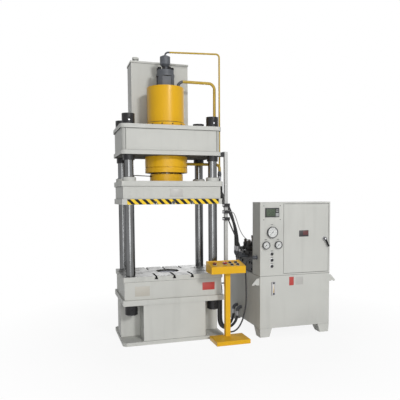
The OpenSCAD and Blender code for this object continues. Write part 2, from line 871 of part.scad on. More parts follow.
module base_plate() {
  color(paint) difference() {
    linear_extrude(base_t) cut_rect(lower_w + 2 * base_lip, lower_d + 2 * base_lip, base_cut);
    in_quarters() translate([col_x - anchor_in, col_y + anchor_out, -cut])
      cylinder(d = anchor_dia, h = base_t + 2 * cut);
  }
}

// The hollow round the ejector cylinder
module ejector_pocket() {
  translate([0, 0, ejector_foot_z - ejector_room])
    cylinder(d = ejector_od + 2 * ejector_room, h = ejector_seat_z);
}

module bed_core() {
  color(paint) difference() {
    slab(2 * (col_x - recess_in), lower_d, recess_h, base_t);
    ejector_pocket();
  }
}

// The web between the two recesses on each side
module bed_sides() {
  inner = col_x - recess_in;
  web = lower_d / 2 - recess_d;
  color(paint) for (turn = [0, 180]) {
    rotate([0, 0, turn]) block([inner, -web, base_t], [lower_w / 2, web, recess_top]);
  }
}

module bed_box() {
  color(paint) difference() {
    union() {
      slab(lower_w, lower_d + 2 * mid_lip, mid_t, recess_top);
      slab(box_w, col_span_y + 2 * box_edge_y, box_h, mid_top);
    }
    column_holes(recess_top, mid_t + box_h);
    translate([0, 0, ejector_seat_z]) cylinder(d = hole_dia, h = box_top);
    ejector_pocket();
    for (end = ejector_ends) {
      rod([0, end.y, ejector_pipe_z], [box_w, end.y, ejector_pipe_z], ejector_pipe_dia + 2 * ejector_room);
    }
  }
}

// The hollow of a T-slot along +Y, with its mouth at z = 0
module t_slot(length) {
  translate([-slot_w / 2, 0, -slot_neck_h - eps]) cube([slot_w, length, slot_neck_h + cut]);
  translate([-slot_head_w / 2, 0, -slot_neck_h - slot_head_h]) cube([slot_head_w, length, slot_head_h]);
}

module table_plate() {
  w = col_span_x + 2 * table_edge_x;
  d = col_span_y + 2 * table_edge_y;
  color(steel) difference() {
    slab(w, d, table_t, box_top);
    column_holes(box_top, table_t);
    translate([0, 0, box_top - cut]) cylinder(d = hole_dia, h = table_t + 2 * cut);
    for (x = [-slot_pitch, 0, slot_pitch], my = [0, 1]) {
      mirror([0, my, 0]) translate([x, d / 2 - slot_len, table_z]) t_slot(slot_len + cut);
    }
    in_quarters() {
      translate([w / 2 - side_slot_len, side_slot_y, table_z])
        rotate([0, 0, -90]) t_slot(side_slot_len + cut);
    }
  }
}

module columns() {
  out = 10;
  sunk = 8;
  foot = recess_top - nut_h - out;
  color(chrome) at_columns() translate([0, 0, foot])
    cylinder(d = col_dia, h = beam_top + nut_h - sunk - foot);
}

// A round nut with tommy-bar holes to the front and back
module round_nut(d, h) {
  difference() {
    ring(d, col_dia + 2 * col_clear, h);
    for (turn = [0, 180]) {
      rotate([0, 0, turn]) translate([0, -d / 2 + tommy_depth, h / 2]) rotate([90, 0, 0])
        cylinder(d = tommy_dia, h = d);
    }
  }
}

module column_nuts() {
  color(black) at_columns() {
    translate([0, 0, beam_top]) round_nut(nut_dia, nut_h);
    translate([0, 0, recess_top - nut_h]) round_nut(nut_dia, nut_h);
    translate([0, 0, beam_z - lock_nut_h]) ring(lock_nut_dia, col_dia + 2 * col_clear, lock_nut_h);
  }
}

module upper_beam() {
  w = beam_w - 2 * beam_lip;
  d = beam_d - 2 * beam_lip;
  panel_w = w - 2 * panel_frame;
  color(paint) difference() {
    union() {
      translate([0, 0, beam_z]) linear_extrude(beam_bot_t) round_rect(beam_w, beam_d, beam_corner);
      translate([0, 0, beam_box_z]) linear_extrude(beam_box_h) round_rect(w, d, beam_corner);
      translate([0, 0, beam_top_z]) linear_extrude(beam_top_t) round_rect(beam_w, beam_d, beam_corner);
    }
    for (turn = [0, 180]) {
      rotate([0, 0, turn])
        block([-panel_w / 2, -d, beam_box_z], [panel_w / 2, -d / 2 + panel_depth, beam_top_z]);
    }
    column_holes(beam_z, beam_top - beam_z);
    translate([0, 0, beam_z - cut]) cylinder(d = cyl_od + 2 * col_clear, h = beam_top - beam_z + 2 * cut);
  }
}

module main_cylinder() {
  bore = cyl_bore / 2;
  port = cyl_port / 2;
  cap_z = cyl_top - cyl_cap_t;
  boss_start = (cyl_bore + shoulder_dia) / 4;
  color(yellow) {
    rotate_extrude() polygon([[bore, cyl_z], [shoulder_dia / 2, cyl_z], [shoulder_dia / 2, beam_z],
      [cyl_od / 2, beam_z], [cyl_od / 2, cyl_top], [port, cyl_top], [port, cap_z], [bore, cap_z]]);
    rod([boss_start, return_y, return_z], [return_boss_x, return_y, return_z], return_boss_dia);
  }
}

module cylinder_gland() {
  hole = ram_dia / 2 + run_clear;
  out = shoulder_dia / 2;
  waist = out - gland_relief;
  color(yellow) rotate_extrude() polygon([[hole, cyl_z - gland_h], [out, cyl_z - gland_h],
    [out, cyl_z - gland_relief], [waist, cyl_z - gland_relief], [waist, cyl_z], [hole, cyl_z]]);
}

module cylinder_ring_nut() {
  color(yellow) translate([0, 0, beam_top]) ring(ring_nut_dia, cyl_od + 2 * col_clear, ring_nut_h);
}

module prefill_valve() {
  flange_top = valve_top + valve_flange_h;
  cone_h = 28;
  cone_z = head_z - cone_h;
  window_z = cyl_top + (valve_h - window_h) / 2;
  color(iron) difference() {
    union() {
      translate([0, 0, cyl_top]) cylinder(d = valve_dia, h = valve_h);
      translate([0, 0, valve_top]) cylinder(d = valve_flange_dia, h = valve_flange_h);
      translate([0, 0, flange_top]) cylinder(d = neck_dia, h = cone_z - flange_top);
      translate([0, 0, cone_z]) cylinder(d1 = neck_dia, d2 = head_dia, h = head_z - cone_z);
      translate([0, 0, head_z]) cylinder(d = head_dia, h = head_h);
      translate([0, 0, head_z + head_h]) cylinder(d = neck_dia, h = head_cap_h);
    }
    for (turn = [0, 90, 180, 270]) {
      rotate([0, 0, turn]) translate([-window_w / 2, -valve_dia, window_z])
        cube([window_w, valve_dia / 2 + window_depth, window_h]);
    }
  }
}

module overhead_tank() {
  bracket_w = 50;
  bracket_tip = 20;
  pipe_z = cyl_top + valve_h / 2;
  back = beam_d / 2;
  tank_back = top_tank_y + top_tank_d;
  color(paint) {
    block([top_tank_x - top_tank_w / 2, top_tank_y, beam_top],
      [top_tank_x + top_tank_w / 2, tank_back, top_tank_top]);
    rod([0, valve_dia / 2 - window_depth, pipe_z], [0, top_tank_y + cut, pipe_z], suction_dia);
    for (x = [-top_tank_w / 3, top_tank_w / 3]) {
      translate([top_tank_x + x + bracket_w / 2, 0, 0]) rotate([0, -90, 0]) linear_extrude(bracket_w)
        polygon([[beam_top, back], [beam_top, tank_back], [beam_top - bracket_tip, tank_back],
          [beam_top_z - beam_box_h / 2, back]]);
    }
  }
}

module overhead_tank_lid() {
  lip = top_lid_lip;
  neck = 54;
  left = top_tank_x - top_tank_w / 2;
  color(paint) {
    block([left - lip, top_tank_y - lip, top_tank_top],
      [left + top_tank_w + lip, top_tank_y + top_tank_d + lip, top_tank_top + top_lid_t]);
    translate([left + cap_inset, top_tank_y + cap_inset, top_tank_top]) {
      cylinder(d = neck, h = top_lid_t + cap_h);
      translate([0, 0, top_lid_t + cap_h / 2]) cylinder(d = cap_dia, h = cap_h / 2);
    }
  }
}

// The pressure, pilot and return pipes
module oil_pipes() {
  main_top = cyl_top + main_pipe_rise;
  flange = 2 * main_pipe_dia;
  pilot_top = head_top + pilot_rise;
  pilot_reach = norm([pilot_drop_x, pilot_drop_y]);
  color(yellow) {
    translate([main_pipe_x - pipe_flange_w / 2, -flange / 2, cyl_top])
      cube([pipe_flange_w, flange, pipe_flange_t]);
    pipe([[main_pipe_x, 0, cyl_top], [main_pipe_x, 0, main_top], [main_drop_x, 0, main_top],
      [main_drop_x, 0, pipe_end_z]], main_pipe_dia, pipe_bend);
    rotate([0, 0, atan2(pilot_drop_y, pilot_drop_x)])
      pipe([[0, 0, head_top], [0, 0, pilot_top], [pilot_reach, 0, pilot_top], [pilot_reach, 0, pipe_end_z]],
        pilot_pipe_dia, pilot_bend);
    pipe([[return_boss_x, return_y, return_z], [return_drop_x, return_y, return_z],
      [return_drop_x, return_y, pipe_end_z]], main_pipe_dia, return_bend);
  }
}

// A union under a pipe end, with a hexagon nut
module pipe_union(d) {
  translate([0, 0, -union_len]) cylinder(d = d + union_wall, h = union_len);
  translate([0, 0, -(union_len + union_nut_h) / 2])
    cylinder(d = d + 2 * union_wall, h = union_nut_h, $fn = 6);
}

// An elbow from a hose's end to a face on the power unit
module hose_elbow(route, face_x, z, d, bend) {
  end = route[len(route) - 1];
  pipe([end, [end.x, end.y, z], [face_x, end.y, z]], d + union_wall, bend);
}

// A ribbed plug on the cabinet's side, from the end of a cable
module cable_plug(route) {
  end = route[len(route) - 1];
  rod(end, [unit_x, end.y, end.z], plug_dia - 2 * union_wall);
  rod([end.x + plug_nose, end.y, end.z], [unit_x, end.y, end.z], plug_dia - union_wall);
  rod([unit_x - plug_nose, end.y, end.z], [unit_x, end.y, end.z], plug_dia);
  rod([end.x + plug_nose, end.y, end.z], [end.x + 2 * plug_nose, end.y, end.z], plug_dia);
}

module hose_fittings() {
  color(iron) {
    translate([main_drop_x, 0, pipe_end_z]) pipe_union(main_pipe_dia);
    translate([pilot_drop_x, pilot_drop_y, pipe_end_z]) pipe_union(pilot_pipe_dia);
    translate([return_drop_x, return_y, pipe_end_z]) pipe_union(main_pipe_dia);
    hose_elbow(pressure_route, block_left, elbow_z, hose_dia, hose_dia + union_wall);
    hose_elbow(return_route, block_left, elbow_z, hose_dia, hose_dia + union_wall);
    hose_elbow(pilot_route, block_left, elbow_z, pilot_hose_dia, pilot_hose_dia + union_wall);
    hose_elbow(ejector_route_1, unit_x, tank_port_z, hose_dia, hose_dia + union_wall);
    hose_elbow(ejector_route_2, unit_x, tank_port_z, hose_dia, hose_dia + union_wall);
    cable_plug(pedestal_route);
  }
}

module sensor_pole() {
  color(paint) translate([pole_x, pole_y, pole_foot]) linear_extrude(pole_top - pole_foot) difference() {
    square(pole_side, center = true);
    square(pole_side - 2 * pole_wall, center = true);
  }
}

module pole_brackets() {
  left = pole_x - pole_side / 2;
  front = pole_y - pole_side / 2;
  back = pole_y + pole_side / 2;
  low_z = pole_foot + pole_side;
  color(black) {
    translate([0, back, 0]) rotate([90, 0, 0]) linear_extrude(pole_side)
      polygon([[beam_w / 2, beam_z], [beam_w / 2, beam_z + beam_bot_t], [left, pole_top], [left, beam_z]]);
    block([box_w / 2, front, low_z], [left, back, low_z + bracket_t]);
    for (i = [0:2]) {
      translate([pole_x, pole_y, sensor_z - i * sensor_pitch]) difference() {
        translate([-pole_side / 2 - bracket_t, sensor_y - pole_y - sensor_dia, -sensor_dia])
          cube([pole_side + 2 * bracket_t, pole_side + 2 * sensor_dia + bracket_t, 2 * sensor_dia]);
        translate([-pole_side / 2, -pole_side / 2, -pole_side]) cube([pole_side, pole_side, 2 * pole_side]);
        translate([0, sensor_y - pole_y, 0]) rod([-pole_side, 0, 0], [pole_side, 0, 0], sensor_dia);
      }
    }
  }
}

module proximity_sensors() {
  color(steel) for (i = [0:2]) {
    translate([sensor_tip, sensor_y, sensor_z - i * sensor_pitch])
      rod([0, 0, 0], [sensor_len, 0, 0], sensor_dia);
  }
}

module ejector_cylinder() {
  bore = ejector_bore / 2;
  rod_r = ejector_rod_dia / 2 + run_clear;
  out = ejector_od / 2;
  mid_r = (bore + ejector_flange_dia / 2) / 2;
  flange_top = ejector_seat_z + ejector_flange_h;
  floor_z = ejector_foot_z + ejector_cap_t;
  color(iron) {
    rotate_extrude() polygon([[0, ejector_foot_z], [out, ejector_foot_z], [out, ejector_seat_z],
      [ejector_flange_dia / 2, ejector_seat_z], [ejector_flange_dia / 2, flange_top], [rod_r, flange_top],
      [rod_r, flange_top - ejector_cap_t], [bore, flange_top - ejector_cap_t], [bore, floor_z],
      [0, floor_z]]);
    for (end = ejector_ends) {
      start = sqrt(max(pow(mid_r, 2) - pow(end.y, 2), 0));
      pipe([[start, end.y, ejector_pipe_z], [end.x, end.y, ejector_pipe_z], end], ejector_pipe_dia,
        ejector_bend);
    }
  }
}

module ejector_ram() {
  room = 8;
  piston_z = ejector_foot_z + ejector_cap_t + room;
  head_z = table_z - ejector_sink - ejector_head_h;
  color(chrome) {
    translate([0, 0, piston_z]) cylinder(d = ejector_bore - 2 * run_clear, h = ejector_piston_h);
    translate([0, 0, piston_z]) cylinder(d = ejector_rod_dia, h = head_z - piston_z + cut);
    translate([0, 0, head_z]) cylinder(d = ejector_head_dia, h = ejector_head_h);
  }
}

module slide_body() {
  d = col_span_y + 2 * slide_edge_y;
  color(paint) difference() {
    union() {
      slab(slide_w, d, slide_bot_t, slide_z);
      slab(slide_w - 2 * slide_lip, d - 2 * slide_lip, slide_box_h, slide_box_z);
      slab(slide_w, d, slide_top_t, slide_top_z);
    }
    at_columns() translate([0, 0, slide_z - cut])
      cylinder(d = bush_od + 2 * run_clear, h = slide_top - slide_z + 2 * cut);
    for (x = [-slot_pitch, 0, slot_pitch]) {
      translate([x, -d / 2 - cut, slide_z]) mirror([0, 0, 1]) t_slot(d + 2 * cut);
    }
  }
}

module guide_bushes() {
  hole = col_dia / 2 + run_clear;
  color([0.75, 0.75, 0.72]) at_columns() rotate_extrude() polygon([[hole, slide_z], [bush_od / 2, slide_z],
    [bush_od / 2, slide_top], [collar_dia / 2, slide_top], [collar_dia / 2, slide_top + collar_h],
    [hole, slide_top + collar_h]]);
}

module main_ram() {
  top = cyl_top - cyl_cap_t - piston_room;
  piston = cyl_bore / 2 - run_clear;
  color(chrome) rotate_extrude() polygon([[0, slide_top], [ram_dia / 2, slide_top],
    [ram_dia / 2, top - piston_h], [piston, top - piston_h], [piston, top], [0, top]]);
}

module ram_flange() {
  color(yellow) translate([0, 0, slide_top]) ring(ram_flange_dia, ram_dia + 2 * run_clear, ram_flange_h);
}

module target_plate() {
  color(black) translate([slide_w / 2, sensor_y - target_d / 2, slide_z]) {
    translate([target_reach - target_t, 0, 0]) cube([target_t, target_d, slide_top - slide_z]);
    for (z = [0, slide_top - slide_z - target_t]) {
      translate([0, 0, z]) cube([target_reach, target_d, target_t]);
    }
  }
}

module oil_tank() {
  inset = (foot_w - foot_tip_w) / 2;
  color(paint) {
    block([unit_x, unit_y, foot_h], [unit_right, unit_y + tank_d, tank_top]);
    for (x = [unit_x, unit_right - foot_w], y = [unit_y, unit_y + tank_d - foot_d]) {
      translate([x, y + foot_d, 0]) rotate([90, 0, 0]) linear_extrude(foot_d)
        polygon([[inset, 0], [foot_w - inset, 0], [foot_w, foot_h], [0, foot_h]]);
    }
    for (side = [-1, 1], y = [unit_y + lug_y, unit_y + tank_d - lug_y]) {
      face = side < 0 ? unit_x : unit_right;
      mid = lug_h / 2;
      translate([face, y, tank_top - lug_down]) mirror([side < 0 ? 1 : 0, 0, 0]) rotate([90, 0, 0])
        linear_extrude(lug_t, center = true) difference() {
          polygon([[0, 0], [lug_reach / 2, 0], [lug_reach, -mid], [lug_reach, -mid - lug_tip], [0, -lug_h]]);
          translate([lug_reach / 2, -mid]) circle(d = lug_hole);
        }
    }
  }
}

module oil_level_gauge() {
  color(steel) translate([panel_mid + level_x, unit_y, tank_top - level_down]) difference() {
    translate([-level_w / 2, -level_d, -level_h / 2]) cube([level_w, level_d, level_h]);
    translate([-level_window / 2, -level_d - cut, -level_h / 2 + level_end])
      cube([level_window, level_d / 2 + cut, level_h - 2 * level_end]);
  }
}

module manifold_block() {
  color(iron) translate([block_left, block_front, tank_top]) cube([block_w, block_d, block_h]);
}

// The square plug on a coil, from the coil's axis along +X
module coil_plug_block() {
  w = coil_plug_w;
  translate([0, -w / 2, -w / 2]) cube([coil_dia / 2 + coil_plug, w, w]);
}

// A directional valve along Y, with a coil at each end
module valve_on_face() {
  translate([-valve_side / 2, -valve_side / 2, 0]) cube([valve_side, valve_side, valve_side]);
  for (turn = [0, 180]) {
    rotate([0, 0, turn]) translate([0, valve_side / 2, valve_side / 2]) {
      rotate([-90, 0, 0]) cylinder(d = coil_dia, h = coil_len);
      translate([0, coil_len / 2, 0]) rotate([0, -90, 0]) coil_plug_block();
    }
  }
}

module solenoid_valves() {
  top = tank_top + block_h;
  color(iron) {
    for (i = [0, 1]) {
      translate([block_mid, block_front + first_valve_in + i * valve_pitch, top])
        rotate([0, 0, 90]) valve_on_face();
    }
    translate([block_mid, relief_y, top]) {
      translate([-valve_side / 2, -valve_side / 2, 0]) cube([valve_side, valve_side, relief_h]);
      translate([0, 0, relief_h]) cylinder(d = coil_dia, h = relief_coil_h);
      translate([0, 0, relief_h + relief_coil_h / 2]) rotate([0, 0, 180]) coil_plug_block();
      translate([0, 0, relief_h + relief_coil_h]) cylinder(d = knob_dia, h = knob_h);
    }
  }
}

module electric_motor() {
  axis = [motor_x, unit_y + motor_y, tank_top + motor_z];
  r = motor_dia / 2;
  fins = 28;
  fin_z = motor_end_len + fin_gap;
  web_in = motor_foot_in + motor_foot_t;
  web_y = motor_foot_w / 2 - motor_foot_t;
  box_in = (motor_len - cowl_len - motor_box) / 2;
  color(iron) {
    translate(axis) rotate([0, 90, 0]) {
      cylinder(d = motor_dia - 2 * fin_h, h = motor_len);
      for (i = [0:fins - 1]) {
        rotate([0, 0, i * 360 / fins]) translate([r - 2 * fin_h, -fin_t / 2, fin_z])
          cube([2 * fin_h, fin_t, motor_len - cowl_len - fin_gap - fin_z]);
      }
      cylinder(d = motor_dia, h = motor_end_len);
      translate([0, 0, motor_len - cowl_len]) cylinder(d = motor_dia + fin_h, h = cowl_len);
    }
    block([axis.x + motor_foot_in, axis.y - motor_foot_w / 2, tank_top],
      [axis.x + motor_len - motor_foot_in, axis.y + motor_foot_w / 2, tank_top + motor_foot_t]);
    for (side = [-1, 1]) {
      block([axis.x + web_in, axis.y + side * web_y - motor_foot_t / 2, tank_top],
        [axis.x + motor_len - web_in, axis.y + side * web_y + motor_foot_t / 2, axis.z - r / 2]);
    }
    block([axis.x + box_in, axis.y - motor_box / 2, axis.z + r / 2],
      [axis.x + box_in + motor_box, axis.y + motor_box / 2, axis.z + r + motor_box_h]);
  }
}

module hydraulic_pump() {
  axis = [motor_x - bell_len, unit_y + motor_y, tank_top + motor_z];
  block_right = block_left + block_w;
  color(iron) translate(axis) rotate([0, 90, 0]) {
    cylinder(d = bell_dia, h = bell_flange_t);
    cylinder(d = bell_dia - 2 * bell_flange_t, h = bell_len);
    translate([0, 0, bell_len - bell_flange_t]) cylinder(d = bell_dia, h = bell_flange_t);
    translate([0, 0, -pump_len]) cylinder(d = pump_dia, h = pump_len);
    translate([0, 0, block_right - axis.x]) cylinder(d = main_pipe_dia, h = axis.x - block_right);
  }
}

module control_cabinet() {
  pin_z = [door_z - door_gap - cut, door_z + door_h - hinge_pin_len];
  color(paint) {
    difference() {
      block([unit_x, unit_y, tank_top], [unit_right, cab_back, tank_top + cab_h]);
      block([unit_x + cab_wall, unit_y + cab_wall, tank_top + cab_wall],
        [unit_right - cab_wall, cab_back - cab_wall, tank_top + cab_h - cab_wall]);
      block([door_x - door_gap, unit_y - cut, door_z - door_gap],
        [unit_right - door_frame, unit_y + cab_wall + cut, door_z + door_h + door_gap]);
    }
    for (z = pin_z) {
      translate([hinge_x, hinge_y, z]) cylinder(d = hinge_pin_dia, h = hinge_pin_len + door_gap + cut);
    }
    for (z = [door_z - door_gap - hinge_pin_dia, door_z + door_h + door_gap]) {
      translate([hinge_x - hinge_pin_dia, unit_y, z]) cube([2 * hinge_pin_dia, door_d, hinge_pin_dia]);
    }
  }
}

module electrical_panel() {
  y = cab_back - cab_wall - gear_plate_t;
  x0 = door_x + gear_inset;
  x1 = door_x + door_w - gear_inset;
  z0 = door_z + gear_inset;
  z1 = door_z + door_h - gear_inset;
  left = x0 + gear_edge;
  right = x1 - gear_edge;
  breaker_z = z1 - gear_edge - breaker_h;
  contactor_z = breaker_z - row_gap - contactor_h;
  drive_z = contactor_z - row_gap - contactor_h;
  color(steel) {
    block([x0, y, z0], [x1, y + gear_plate_t, z1]);
    for (i = [0:5]) {
      translate([left + i * (right - left - breaker_w) / 5, y - breaker_d, breaker_z])
        cube([breaker_w, breaker_d, breaker_h]);
    }
    for (i = [0:3]) {
      translate([left + i * (right - left - contactor_w) / 3, y - contactor_d, contactor_z])
        cube([contactor_w, contactor_d, contactor_h]);
    }
    block([left, y - breaker_d, drive_z], [left + drive_w, y, drive_z + contactor_h]);
    block([left + drive_w + row_gap, y - terminal_row_d, drive_z], [right, y, drive_z + contactor_h]);
    block([left, y - terminal_row_d, z0 + gear_edge], [right, y, z0 + gear_edge + terminal_row_h]);
  }
}

module cabinet_door() {
  lock_w = 60;
  color(paint) difference() {
    union() {
      block([door_x + door_round, unit_y, door_z], [door_x + door_w, unit_y + door_d, door_z + door_h]);
      block([door_x, unit_y + door_round, door_z], [door_x + door_round, unit_y + door_d, door_z + door_h]);
      translate([hinge_x, hinge_y, door_z]) cylinder(r = door_round, h = door_h);
    }
    block([door_x + 2 * door_round, unit_y + door_sheet, door_z + door_sheet],
      [door_x + door_w - lock_w - handle_in, unit_y + door_d + cut, door_z + door_h - door_sheet]);
    for (z = [door_z - cut, door_z + door_h - hinge_pin_len - door_gap]) {
      translate([hinge_x, hinge_y, z])
        cylinder(d = hinge_pin_dia + 2 * run_clear, h = hinge_pin_len + door_gap + cut);
    }
    translate([handle_x, unit_y - cut, door_z + handle_z]) rotate([-90, 0, 0])
      cylinder(d = handle_boss / 2 + 2 * run_clear, h = door_d + 2 * cut);
  }
}

module door_handle() {
  boss_d = 22;
  lever_w = 20;
  lever_d = 10;
  off_door = 0.3;
  color(black) translate([handle_x, unit_y, door_z + handle_z]) rotate([0, -handle_tilt, 0]) {
    translate([0, -boss_d - off_door, 0]) rotate([-90, 0, 0]) cylinder(d = handle_boss, h = boss_d);
    translate([0, -cut, 0]) rotate([-90, 0, 0]) cylinder(d = handle_boss / 2, h = door_d);
    translate([-lever_w / 2, -boss_d - lever_d, -handle_len]) cube([lever_w, lever_d, handle_len]);
    translate([0, -boss_d - lever_d, 0]) rotate([-90, 0, 0]) cylinder(d = handle_boss, h = lever_d);
  }
}

module display_unit() {
  edge = 10;
  screen_w = 112;
  screen_sink = 2;
  color(black) translate([panel_mid, unit_y, tank_top + display_z]) difference() {
    translate([-display_w / 2, -display_d, -display_h / 2]) cube([display_w, display_d, display_h]);
    translate([-display_w / 2 + edge, -display_d - cut, -display_h / 2 + edge])
      cube([screen_w, screen_sink + cut, display_h - 2 * edge]);
  }
}

// A gauge case along -Y, with the pin that carries the needle
module gauge_case(d) {
  dial = d / 2 - gauge_ring;
  back = d / 2 - gauge_ring / 2;
  floor_h = gauge_d - dial_depth;
  ring_h = gauge_d / 2;
  pin = needle_pin_dia / 2;
  pin_h = floor_h + needle_lift + 2 * needle_t;
  rotate([90, 0, 0]) rotate_extrude() polygon([[0, 0], [back, 0], [back, ring_h], [d / 2, ring_h],
    [d / 2, gauge_d], [dial, gauge_d], [dial, floor_h], [pin, floor_h], [pin, pin_h], [0, pin_h]]);
}

// A needle at zero, pointing down and to the left
module needle(d) {
  reach = d / 2 - gauge_ring * 1.75;
  hub = 12;
  tail = d / 8;
  wide = 2;
  fine = 0.6;
  lift = gauge_d - dial_depth + needle_lift;
  rotate([90, 0, 0]) translate([0, 0, lift]) difference() {
    union() {
      cylinder(d = hub, h = needle_t);
      rotate([0, 0, 225]) linear_extrude(needle_t)
        polygon([[-tail, -wide], [-tail, wide], [reach, fine], [reach, -fine]]);
    }
    translate([0, 0, -cut]) cylinder(d = needle_pin_dia + 2 * run_clear, h = needle_t + 2 * cut);
  }
}

module pressure_gauges() {
  color(chrome) {
    translate([panel_mid, unit_y, tank_top + gauge_z]) gauge_case(gauge_dia);
    for (side = [-1, 1]) {
      translate([panel_mid + side * small_gauge_pitch / 2, unit_y, tank_top + small_gauge_z])
        gauge_case(small_gauge_dia);
    }
  }
}

module main_gauge_needle() {
  color(black) translate([panel_mid, unit_y, tank_top + gauge_z]) needle(gauge_dia);
}

module small_needle(side) {
  color(black) translate([panel_mid + side * small_gauge_pitch / 2, unit_y, tank_top + small_gauge_z])
    needle(small_gauge_dia);
}

module left_gauge_needle() {
  small_needle(-1);
}

module right_gauge_needle() {
  small_needle(1);
}

// Puts a control on the cabinet's panel
module on_panel(i) {
  translate([panel_mid, unit_y, tank_top + button_z - i * button_pitch]) rotate([90, 0, 0]) children();
}

// Puts a control on the console's panel, from its left and front edges
module on_console(x, s) {
  slope = atan((console_back_h - console_front_h) / console_d);
  translate([stand_x + console_x + x, stand_y + console_y, console_z + console_front_h]) rotate([slope, 0, 0])
    translate([0, s, -console_sink]) children();
}

module button_collar(d) {
  ring(d + 2 * (button_clear + button_wall), d + 2 * button_clear, button_collar_h);
}

module push_button(d) {
  floor_h = button_travel + 1;
  translate([0, 0, floor_h]) cylinder(d = d, h = button_collar_h + button_proud - floor_h);
}

// A mushroom head on a stem that runs in its collar
module mushroom(d) {
  floor_h = button_travel + 1;
  crown = 12;
  under = button_collar_h + button_travel + 1;
  translate([0, 0, floor_h]) cylinder(d = button_dia, h = under - floor_h + cut);
  translate([0, 0, under]) rotate_extrude() intersection() {
    translate([0, -d + crown]) circle(r = d);
    square([d / 2, crown]);
  }
}

module button_collars() {
  color(black) {
    for (i = [0:2]) on_panel(i) button_collar(button_dia);
    for (p = concat([palm_place, stop_place], button_places)) on_console(p.x, p.y) button_collar(button_dia);
  }
}

module panel_button_top() {
  color(black) on_panel(0) push_button(button_dia);
}

module panel_button_middle() {
  color(black) on_panel(1) push_button(button_dia);
}

module panel_button_bottom() {
  color(black) on_panel(2) push_button(button_dia);
}

module palm_button() {
  color([0.5, 0.2, 0.15]) on_console(palm_place.x, palm_place.y) mushroom(palm_dia);
}

module emergency_stop() {
  color([0.7, 0.1, 0.1]) on_console(stop_place.x, stop_place.y) mushroom(stop_dia);
}

module console_button(i) {
  color(black) on_console(button_places[i].x, button_places[i].y) push_button(button_dia);
}

module console_button_1() {
  console_button(0);
}

module console_button_2() {
  console_button(1);
}

module console_button_3() {
  console_button(2);
}

module console_button_4() {
  console_button(3);
}

module pedestal_stand() {
  x1 = stand_x + stand_w;
  y1 = stand_y + stand_d;
  px = stand_x + post_x;
  py = stand_y + post_y;
  r = post_side / 2;
  top = stand_rim + stand_rise;
  color(yellow) {
    block([stand_x, stand_y, 0], [x1, y1, stand_rim]);
    polyhedron([[stand_x, stand_y, stand_rim], [x1, stand_y, stand_rim], [x1, y1, stand_rim],
      [stand_x, y1, stand_rim],
      [px - r, py - r, top], [px + r, py - r, top], [px + r, py + r, top], [px - r, py + r, top]],
      [[0, 1, 2, 3], [7, 6, 5, 4], [4, 5, 1, 0], [5, 6, 2, 1], [6, 7, 3, 2], [7, 4, 0, 3]]);
    block([px - r, py - r, stand_rim], [px + r, py + r, console_z]);
  }
}

module console_box() {
  slope = atan((console_back_h - console_front_h) / console_d);
  panel_d = console_d / cos(slope) - 2 * console_rim;
  color(yellow) difference() {
    translate([stand_x + console_x, stand_y + console_y, console_z])
      rotate([90, 0, 90]) linear_extrude(console_w)
        polygon([[0, 0], [console_d, 0], [console_d, console_back_h], [0, console_front_h]]);
    on_console(console_rim, console_rim) cube([console_w - 2 * console_rim, panel_d, 4 * console_sink]);
  }
}

module pressure_hose() {
  color(black) cord(pressure_route, hose_dia);
}

module return_hose() {
  color(black) cord(return_route, hose_dia);
}

module pilot_hose() {
  color(black) cord(pilot_route, pilot_hose_dia);
}

module ejector_hose_1() {
  color(black) cord(ejector_route_1, hose_dia);
}

module ejector_hose_2() {
  color(black) cord(ejector_route_2, hose_dia);
}

module sensor_cable() {
  color(black) cord(sensor_route, sensor_cable_dia);
}

module pedestal_cable() {
  color(black) cord(pedestal_route, pedestal_cable_dia);
}

base_plate();
bed_core();
bed_sides();
bed_box();
table_plate();
columns();
column_nuts();
upper_beam();
main_cylinder();
cylinder_gland();
cylinder_ring_nut();
prefill_valve();
overhead_tank();
overhead_tank_lid();
oil_pipes();
hose_fittings();
sensor_pole();
pole_brackets();
proximity_sensors();
ejector_cylinder();
oil_tank();
oil_level_gauge();
manifold_block();
solenoid_valves();
electric_motor();
hydraulic_pump();
control_cabinet();
electrical_panel();
display_unit();
pressure_gauges();
button_collars();
pedestal_stand();
console_box();
pressure_hose();
return_hose();
pilot_hose();
ejector_hose_1();
ejector_hose_2();
sensor_cable();
pedestal_cable();
slide_body();
guide_bushes();
main_ram();
ram_flange();
target_plate();
ejector_ram();
cabinet_door();
door_handle();
main_gauge_needle();
left_gauge_needle();
right_gauge_needle();
panel_button_top();
panel_button_middle();
panel_button_bottom();
palm_button();
emergency_stop();
console_button_1();
console_button_2();
console_button_3();
console_button_4();
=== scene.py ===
"""Looks of a four-column hydraulic press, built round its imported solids."""

import json
import math
from itertools import product

import bmesh
import bpy
from bpy.props import FloatProperty, FloatVectorProperty, IntProperty, PointerProperty
from bpy.types import Operator, Panel, PropertyGroup
from mathutils import Matrix, Vector


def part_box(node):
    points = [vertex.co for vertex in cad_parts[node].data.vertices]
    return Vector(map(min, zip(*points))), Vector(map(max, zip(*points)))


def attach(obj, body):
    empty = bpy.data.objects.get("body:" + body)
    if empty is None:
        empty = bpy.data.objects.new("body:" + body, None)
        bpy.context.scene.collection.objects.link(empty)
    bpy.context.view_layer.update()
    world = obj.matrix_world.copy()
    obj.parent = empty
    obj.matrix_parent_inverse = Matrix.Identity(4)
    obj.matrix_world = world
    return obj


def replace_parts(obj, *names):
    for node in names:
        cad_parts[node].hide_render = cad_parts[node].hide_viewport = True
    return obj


bl_info = {
    "name": "Four-column hydraulic press",
    "version": (1, 0, 0),
    "blender": (4, 5, 0),
    "location": "3D View > Sidebar > Press",
    "description": "Dresses the packed solids of a hydraulic press with finishes, fasteners, dials and hoses",
    "category": "Object",
}

